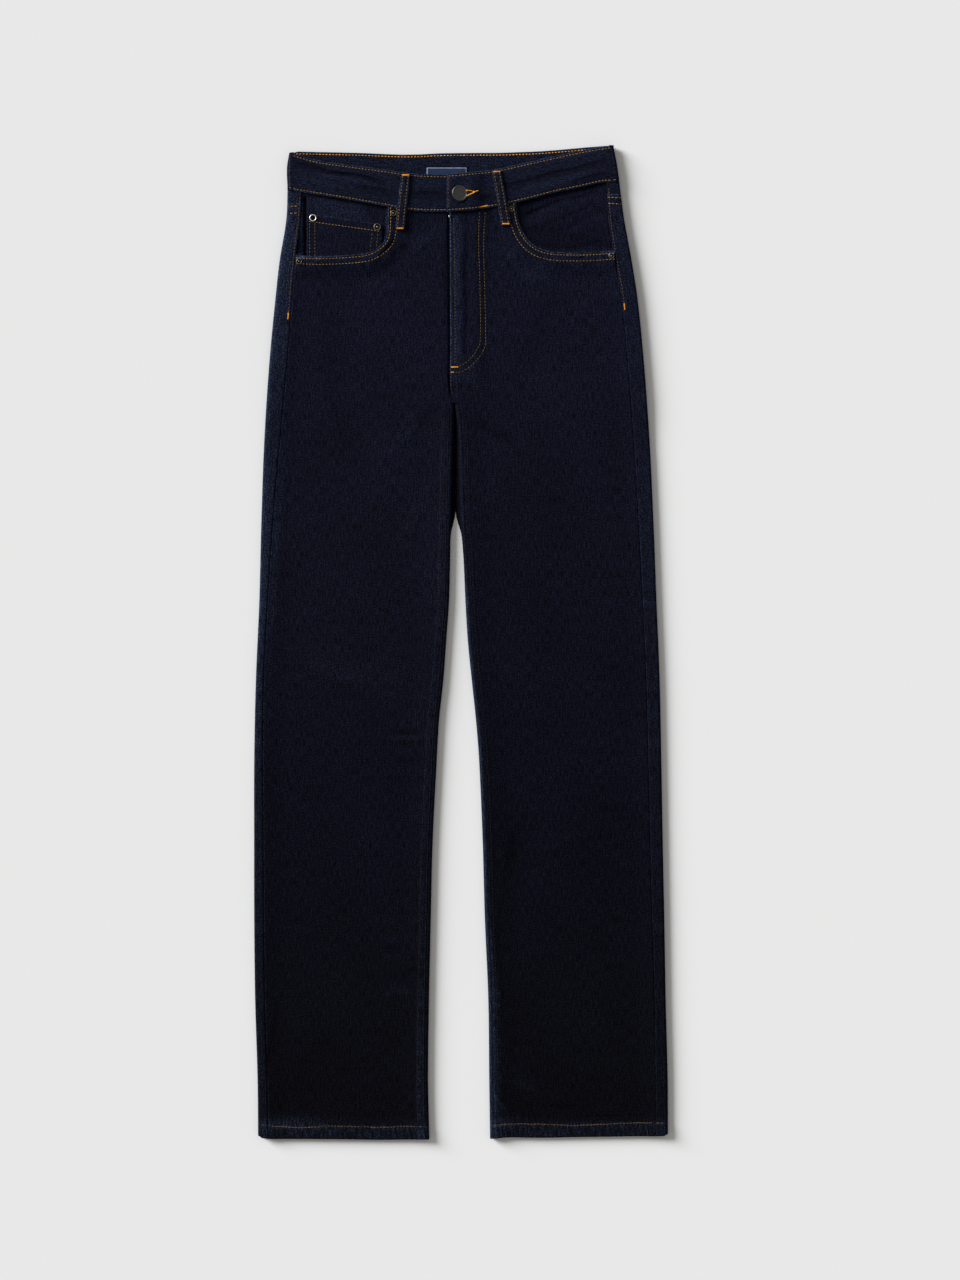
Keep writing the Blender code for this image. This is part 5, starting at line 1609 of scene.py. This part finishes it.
# The upper and the lower arm of the buttonhole, and its end.
BUTTONHOLE = (
    [(5.6, 1014.4), (11.4, 1014.0), (14.4, 1012.6)],
    [(5.6, 1008.4), (9.9, 1010.4), (14.0, 1012.3)],
    [(13.6, 1012.4), (18.4, 1014.4)],
)
LOOP_TACK = 3.7  # half the length of a belt loop's bar tack
TIGHT_STITCH = 3.1  # where hardly any cloth shows between the stitches
BAND_SPANS = {"left": (-179.5, -12.0), "right": (RIGHT_BAND_END + 1.5, 160.5)}
BAND_FOLD_ROWS = ([(-184.6, 1018.2), (-180.8, 1017.6)], [(161.6, 1026.2), (167.2, 1026.6)])
BAND_END_LINE = [(RIGHT_BAND_END + BAND_END_ROW, up) for up in (995.5, 1029.0)]
BAND_SIDE_LINE = [(-183.2, 1019.5), (-183.4, 1052.0)]
BACK_BAND_SPAN = (-180.5, 142.0)
WAIST_LEVEL = 1018.0  # about where the side seams reach the waistband
INSEAM_FROM, INSEAM_TO = 15.0, 770.0
YOKE_ROWS = {"left": (998.7, 991.1), "right": (1008.0, 1001.4)}
YOKE_FROM = {"left": 0.24, "right": 0.03}  # from the side seam, in parts of the flap


def sew_front():
    rows = [row(partial(front_face, side), line) for side in SIDE_NAMES for line in POCKET_SEWN[side]]
    sew("topstitch_front_pockets", rows, thread("gold"))
    face = partial(front_face, "right")
    sew("topstitch_fly", [row(face, line) for line in (J_INNER, J_OUTER)], thread("sunk"), 0.88)
    sew("topstitch_fly_edge", [row(face, FLY_ROW)], thread("sunk"), 0.55)
    sew("crotch_seam_stitching", [row(face, CROTCH_ROW)], thread("brown"))
    rows = {name: row(coin_face, line) for name, line in COIN_ROWS.items()}
    sew("topstitch_coin_pocket_top", [rows.pop("top")], thread("gold"))
    sew("topstitch_coin_pocket_sides", list(rows.values()), thread("sunk"), 0.75)


def sew_waist():
    folds = [partial(fold_band_face, side) for side in SIDE_NAMES]
    rows = []
    for side, (start, end) in BAND_SPANS.items():
        for height in (-BAND_TOP_ROW, BAND_FOOT_ROW):
            rows.append(row(partial(band_face, side), band_line(side, start, end, height)))
    rows += [row(face, line) for face, line in zip(folds, BAND_FOLD_ROWS)]
    sew("topstitch_waistband", rows, thread("gold"))
    rows = [row(partial(band_face, "right"), BAND_END_LINE), row(folds[0], BAND_SIDE_LINE)]
    sew("topstitch_waistband_ends", rows, thread("sunk"), 0.45)
    line = band_line("back", *BACK_BAND_SPAN, -BAND_TOP_ROW)
    sew("topstitch_back_waistband", [row(back_band_face, line)], thread("chain"), 1.45)
    rows = []
    for side, loop in FRONT_LOOPS.items():
        up = np.linspace(loop.foot + 2.0, loop.top - 2.0, 24)
        for away in (-LOOP_ROW, LOOP_ROW):
            rows.append(row(partial(loop_face, side), np.stack([loop_middle(side, up) + away, up], axis=1)))
    sew("topstitch_belt_loops", rows, thread("sunk"), 1.25)


def sew_sides():
    sides, yokes, inseams, hems = [], [], [], []
    for side in SIDE_NAMES:
        flap, front, toe = (partial(face, side) for face in (flap_face, front_face, toe_face))
        foot = BAND_FOOT[side](SIDE_SEAM[side](WAIST_LEVEL))
        sides.append(row(flap, side_line(side, TACK_LEVEL[side][1], foot - 2.0, SIDE_ROW)))
        for level in YOKE_ROWS[side]:
            seam, edge = SIDE_SEAM[side](level), EDGE[side](level)
            start = (mix(seam, edge, YOKE_FROM[side]), level)
            yokes.append(row(flap, [start, (edge, level - 0.8)], TIGHT_STITCH))
        for inside in INSEAM_ROWS[side]:
            line = inseam_line(side, HEM[side] + INSEAM_FROM, INSEAM_TO, inside)
            inseams.append(row(front if inside > 0 else toe, line))
        ends = hem_parts(side)
        for face, start, end in zip((flap, front, toe), ends, ends[1:]):
            hems.append(row(face, hem_line(side, mix(start, end, 0.02), mix(start, end, 0.98)), TIGHT_STITCH))
    sew("topstitch_side_seams", sides, thread("sunk"), 0.72)
    sew("topstitch_yokes", yokes, thread("gold"), 1.3)
    sew("felled_inseams", inseams, thread("brown"), 0.7)
    sew("topstitch_hems", hems, thread("sunk"), 0.95)


def sew_tacks():
    """Bar tacks, and the buttonhole's close stitches."""
    front, band = partial(front_face, "right"), partial(band_face, "right")
    rows = [
        tack(front, (-10.4, 826.2), (-3.0, 826.4), 1.5),
        tack(front, (-10.6, 820.8), (-7.6, 820.8), 1.3),
        tack(band, (21.1, 997.3), (28.6, 998.9), 1.5),
    ]
    for side in SIDE_NAMES:
        ends = [(float(SIDE_SEAM[side](up)) - INWARD[side] * SIDE_ROW, up) for up in TACK_LEVEL[side]]
        rows.append(tack(partial(flap_face, side), *ends, 1.5))
        loop = FRONT_LOOPS[side]
        for up in (loop.foot + 1.6, loop.top - 1.8):
            x = float(loop_middle(side, up))
            rows.append(tack(partial(loop_face, side), (x - LOOP_TACK, up), (x + LOOP_TACK, up), 1.6))
    sew("bar_tacks", rows, thread("orange"), 1.2)
    rows = [satin(*laid_on(band, rounded(arm, 0.5), 0.5), 1.2, 0.45) for arm in BUTTONHOLE]
    sew("buttonhole", rows, thread("orange"), 1.2)


def sew_hidden_side():
    """Plain topstitching behind, where the photograph doesn't show."""
    rows = []
    under, seat = partial(hidden_row, UNDER_CLEAR), partial(hidden_row, REST)
    for side in SIDE_NAMES:
        middle, inward = PATCH_CENTRE[side], INWARD[side]
        half, foot = PATCH_WIDTH / 2, PATCH_TOP - PATCH_SIDE
        for d in PATCH_ROWS:
            narrow = half - PATCH_TAPER - d * 0.96
            corners = [(middle + s * narrow, foot + d * 0.8) for s in (-1, 1)]
            tops = [(middle + s * (half - d), PATCH_TOP - 2) for s in (-1, 1)]
            point = (middle, PATCH_TOP - PATCH_POINT + d)
            rows += [under(*ends) for ends in zip(tops, corners)]
            rows += [under(corners[0], point), under(point, corners[1])]
        rows.append(under((middle - half + 3, PATCH_TOP - 12), (middle + half - 3, PATCH_TOP - 12)))
        outer = float(EDGE[side](990.0)) + inward * 8
        for d in YOKE_SEAM_ROWS:
            rows.append(seat((outer, YOKE_SIDE[side] - d), (CENTRE_TORSO - inward * 2, YOKE_CENTRE - d)))
        level = HEM[side] + HEM_DEPTH
        edges = float(EDGE[side](level)) + inward * 4, float(INNER_EDGE[side](level)) - inward * 4
        rows.append(under(*((edge, level) for edge in edges)))
    for d in CENTRE_ROWS:
        for high, low in ((YOKE_CENTRE - 12, REST_FULL + 2), (1014.0, YOKE_CENTRE + 3)):
            rows.append(seat((CENTRE_TORSO + d, high), (CENTRE_TORSO + d, low)))
    for away in (-BAND_TOP_ROW, BAND_FOOT_ROW + 0.6):
        rows.append(seat(*band_line("back", -181.0, 161.0, away)))
    low, high = BACK_LOOP_ENDS[0] + 2, BACK_LOOP_ENDS[1] - 2
    for x in BACK_LOOPS.values():
        rows += [under((x + away, low), (x + away, high)) for away in (-LOOP_ROW, LOOP_ROW)]
        for up in (low, high):
            ends = [(x - LOOP_TACK, up), (x + LOOP_TACK, up)]
            rows.append(satin(*down_side(UNDER_CLEAR, ends, 0.5), 1.6))
    sew("topstitch_hidden_side", rows, thread("gold"))


# The stage.

FLOOR_Z = -0.3
FLOOR_SIZE = 60000.0
VIEW_MIDDLE = (20.3, 2.7)


def make_stage():
    scene, stage = bpy.context.scene, bpy.context.scene.jeans_stage
    half, level = FLOOR_SIZE * MM / 2, FLOOR_Z * MM
    mesh = bpy.data.meshes.new("floor")
    corners = [(x, y, level) for x, y in ((-half, -half), (half, -half), (half, half), (-half, half))]
    mesh.from_pydata(corners, [], [(0, 1, 2, 3)])
    mesh.materials.append(finish(matt_background_paper))
    put_in_scene("floor", mesh)

    lamp = bpy.data.lights.new("window", "SUN")
    lamp.color, lamp.energy, lamp.angle = stage.window, stage.window_strength, stage.window_width
    window = put_in_scene("window", lamp)
    window.rotation_euler = Vector(stage.window_from).to_track_quat("Z", "Y").to_euler()

    scene.world = bpy.data.worlds.new("studio")
    scene.world.use_nodes = True
    sky = scene.world.node_tree.nodes["Background"].inputs
    sky["Color"].default_value = (*stage.sky, 1)
    sky["Strength"].default_value = stage.sky_strength

    lens = bpy.data.cameras.new("camera")
    lens.lens, lens.sensor_width, lens.clip_end = stage.lens, 36.0, 100.0
    scene.camera = put_in_scene("camera", lens)
    scene.camera.location = (VIEW_MIDDLE[0] * MM, VIEW_MIDDLE[1] * MM, stage.camera_height)
    scene.view_settings.view_transform = "Standard"


# Settings, operators and the panel.


def colour_setting(name, code, description):
    return FloatVectorProperty(
        name=name, description=description, subtype="COLOR", size=3, min=0, max=1, default=linear(code)
    )


def number_setting(name, value, description, **limits):
    return FloatProperty(name=name, description=description, default=value, **limits)


def length_setting(name, millimetres, description):
    return number_setting(name, millimetres * MM, description, min=0, unit="LENGTH", precision=4)


class JeansCloth(bpy.types.PropertyGroup):
    warp_at_waist: colour_setting("Warp at the Waist", "#0e101e", "Colour of the dyed warp in the upper part")
    # Painted shade: the warp at the hems is darker than at the waist, in place of light that falls off.
    warp_at_hem: colour_setting("Warp at the Hems", "#06060c", "Colour of the dyed warp by the hems")
    # This colour of wear is also painted light on the folds that face the window.
    rubbed: colour_setting("Rubbed Edges", "#5a6d92", "Colour of the warp where edges and folds are rubbed")
    creases: number_setting("Creases", 1.0, "Depth of the soft creases", min=0, max=2)
    pucker: number_setting("Pucker", 1.0, "How much the stitching puckers the cloth", min=0, max=2)


class JeansThread(bpy.types.PropertyGroup):
    topstitch: colour_setting("Topstitch", "#a17930", "Colour of the topstitching thread")
    sunk: colour_setting("Sunk Topstitch", "#705526", "Colour of topstitching pulled into the cloth")
    chain: colour_setting("Chain Stitch", "#e8981a", "Colour of the row inside the back waistband")
    tacks: colour_setting("Tacks", "#de9216", "Colour of the thread in bar tacks and the buttonhole")
    seams: colour_setting("Seams", "#171313", "Colour of the thread in the felled inseams")
    pitch: length_setting("Pitch", 3.5, "From one stitch to the next")
    stitch: length_setting("Stitch", 2.4, "Length of a stitch that shows")


class JeansTrims(bpy.types.PropertyGroup):
    rivet_metal: colour_setting("Rivets", "#8c8373", "Colour of the rivets and the slider")
    button_metal: colour_setting("Button", "#636160", "Colour of the waist button")
    label: colour_setting("Label", "#1a2a46", "Colour of the bare label")
    label_border: colour_setting("Label Border", "#8490a4", "Colour of the label's woven border")
    rivet_radius: length_setting("Rivet Radius", 3.0, "Of the rivets at the front pockets")
    coin_rivet_radius: length_setting("Coin Rivet Radius", 3.8, "Of the rivets on the coin pocket")
    button_radius: length_setting("Button Radius", 8.5, "Of the waist button's cap")
    button_tilt: number_setting(
        "Button Tilt", radians(11), "How far the button leans to the right", unit="ROTATION"
    )


class JeansStage(bpy.types.PropertyGroup):
    floor: colour_setting("Floor", "#e7e7e7", "Colour of the paper floor")
    sky: colour_setting("Sky", "#fffdf8", "Colour of the even light all round")
    window: colour_setting("Window", "#fcfdff", "Colour of the window light")
    sky_strength: number_setting("Sky Strength", 0.33, "Brightness of the even light", min=0)
    window_strength: number_setting("Window Strength", 6.27, "Brightness of the window", min=0)
    window_width: number_setting(
        "Window Width", radians(28), "Angle over which the window spreads", unit="ROTATION"
    )
    window_from: FloatVectorProperty(
        name="Window From", description="Direction towards the window", subtype="DIRECTION",
        default=(-0.811, 0.468, 0.35),
    )
    lens: number_setting("Lens", 80.0, "Focal length of the camera, in millimetres", min=20)
    camera_height: length_setting("Camera Height", 3049.0, "Height of the camera over the floor")


class MakeLegs(bpy.types.Operator):
    """Cut and sew the back panels, the yokes and the front panels"""

    bl_idname = "jeans.legs"
    bl_label = "Legs"

    def execute(self, context):
        for side in SIDE_NAMES:
            make_back(side)
            make_yoke(side)
            make_front(side)
        return {"FINISHED"}


class MakePockets(bpy.types.Operator):
    """Make the pocket facings, the coin pocket and the patch pockets behind"""

    bl_idname = "jeans.pockets"
    bl_label = "Pockets"

    def execute(self, context):
        for side in SIDE_NAMES:
            make_facing(side)
            make_patch(side)
        make_coin_pocket()
        return {"FINISHED"}


class MakeWaistband(bpy.types.Operator):
    """Make the waistband, its belt loops and the label"""

    bl_idname = "jeans.waistband"
    bl_label = "Waistband"

    def execute(self, context):
        make_front_band("left", LEFT_BAND_END)
        make_front_band("right", RIGHT_BAND_END)
        make_back_band()
        for side in SIDE_NAMES:
            make_front_loop(side)
        for name, x in BACK_LOOPS.items():
            make_back_loop(name, x)
        make_label()
        return {"FINISHED"}


class SetTrims(bpy.types.Operator):
    """Set the rivets, the waist button and the zip"""

    bl_idname = "jeans.trims"
    bl_label = "Trims"

    def execute(self, context):
        make_rivets()
        make_button()
        make_zip()
        return {"FINISHED"}


class SewRows(bpy.types.Operator):
    """Sew the topstitching, the bar tacks and the buttonhole"""

    bl_idname = "jeans.stitching"
    bl_label = "Stitching"

    def execute(self, context):
        sew_front()
        sew_waist()
        sew_sides()
        sew_tacks()
        sew_hidden_side()
        return {"FINISHED"}


class SetStage(bpy.types.Operator):
    """Lay the floor, and set the light and the camera"""

    bl_idname = "jeans.stage"
    bl_label = "Stage"

    def execute(self, context):
        make_stage()
        return {"FINISHED"}


OPERATORS = (MakeLegs, MakePockets, MakeWaistband, SetTrims, SewRows, SetStage)
SETTINGS = {
    "jeans_cloth": JeansCloth,
    "jeans_thread": JeansThread,
    "jeans_trims": JeansTrims,
    "jeans_stage": JeansStage,
}


class JeansPanel(bpy.types.Panel):
    """The steps and settings of the jeans"""

    bl_idname = "VIEW3D_PT_jeans"
    bl_label = "Jeans"
    bl_space_type = "VIEW_3D"
    bl_region_type = "UI"
    bl_category = "Jeans"

    def draw(self, context):
        for operator in OPERATORS:
            self.layout.operator(operator.bl_idname)
        for name, group in SETTINGS.items():
            box = self.layout.box()
            for setting in group.__annotations__:
                box.prop(getattr(context.scene, name), setting)


def register():
    for group in (*SETTINGS.values(), *OPERATORS, JeansPanel):
        bpy.utils.register_class(group)
    for name, group in SETTINGS.items():
        setattr(bpy.types.Scene, name, PointerProperty(type=group))


def unregister():
    for name in SETTINGS:
        delattr(bpy.types.Scene, name)
    for group in (JeansPanel, *reversed(OPERATORS), *reversed(SETTINGS.values())):
        bpy.utils.unregister_class(group)


def main():
    register()
    bpy.ops.jeans.legs()
    bpy.ops.jeans.pockets()
    bpy.ops.jeans.waistband()
    bpy.ops.jeans.trims()
    bpy.ops.jeans.stitching()
    bpy.ops.jeans.stage()


if __name__ == "__main__":
    main()
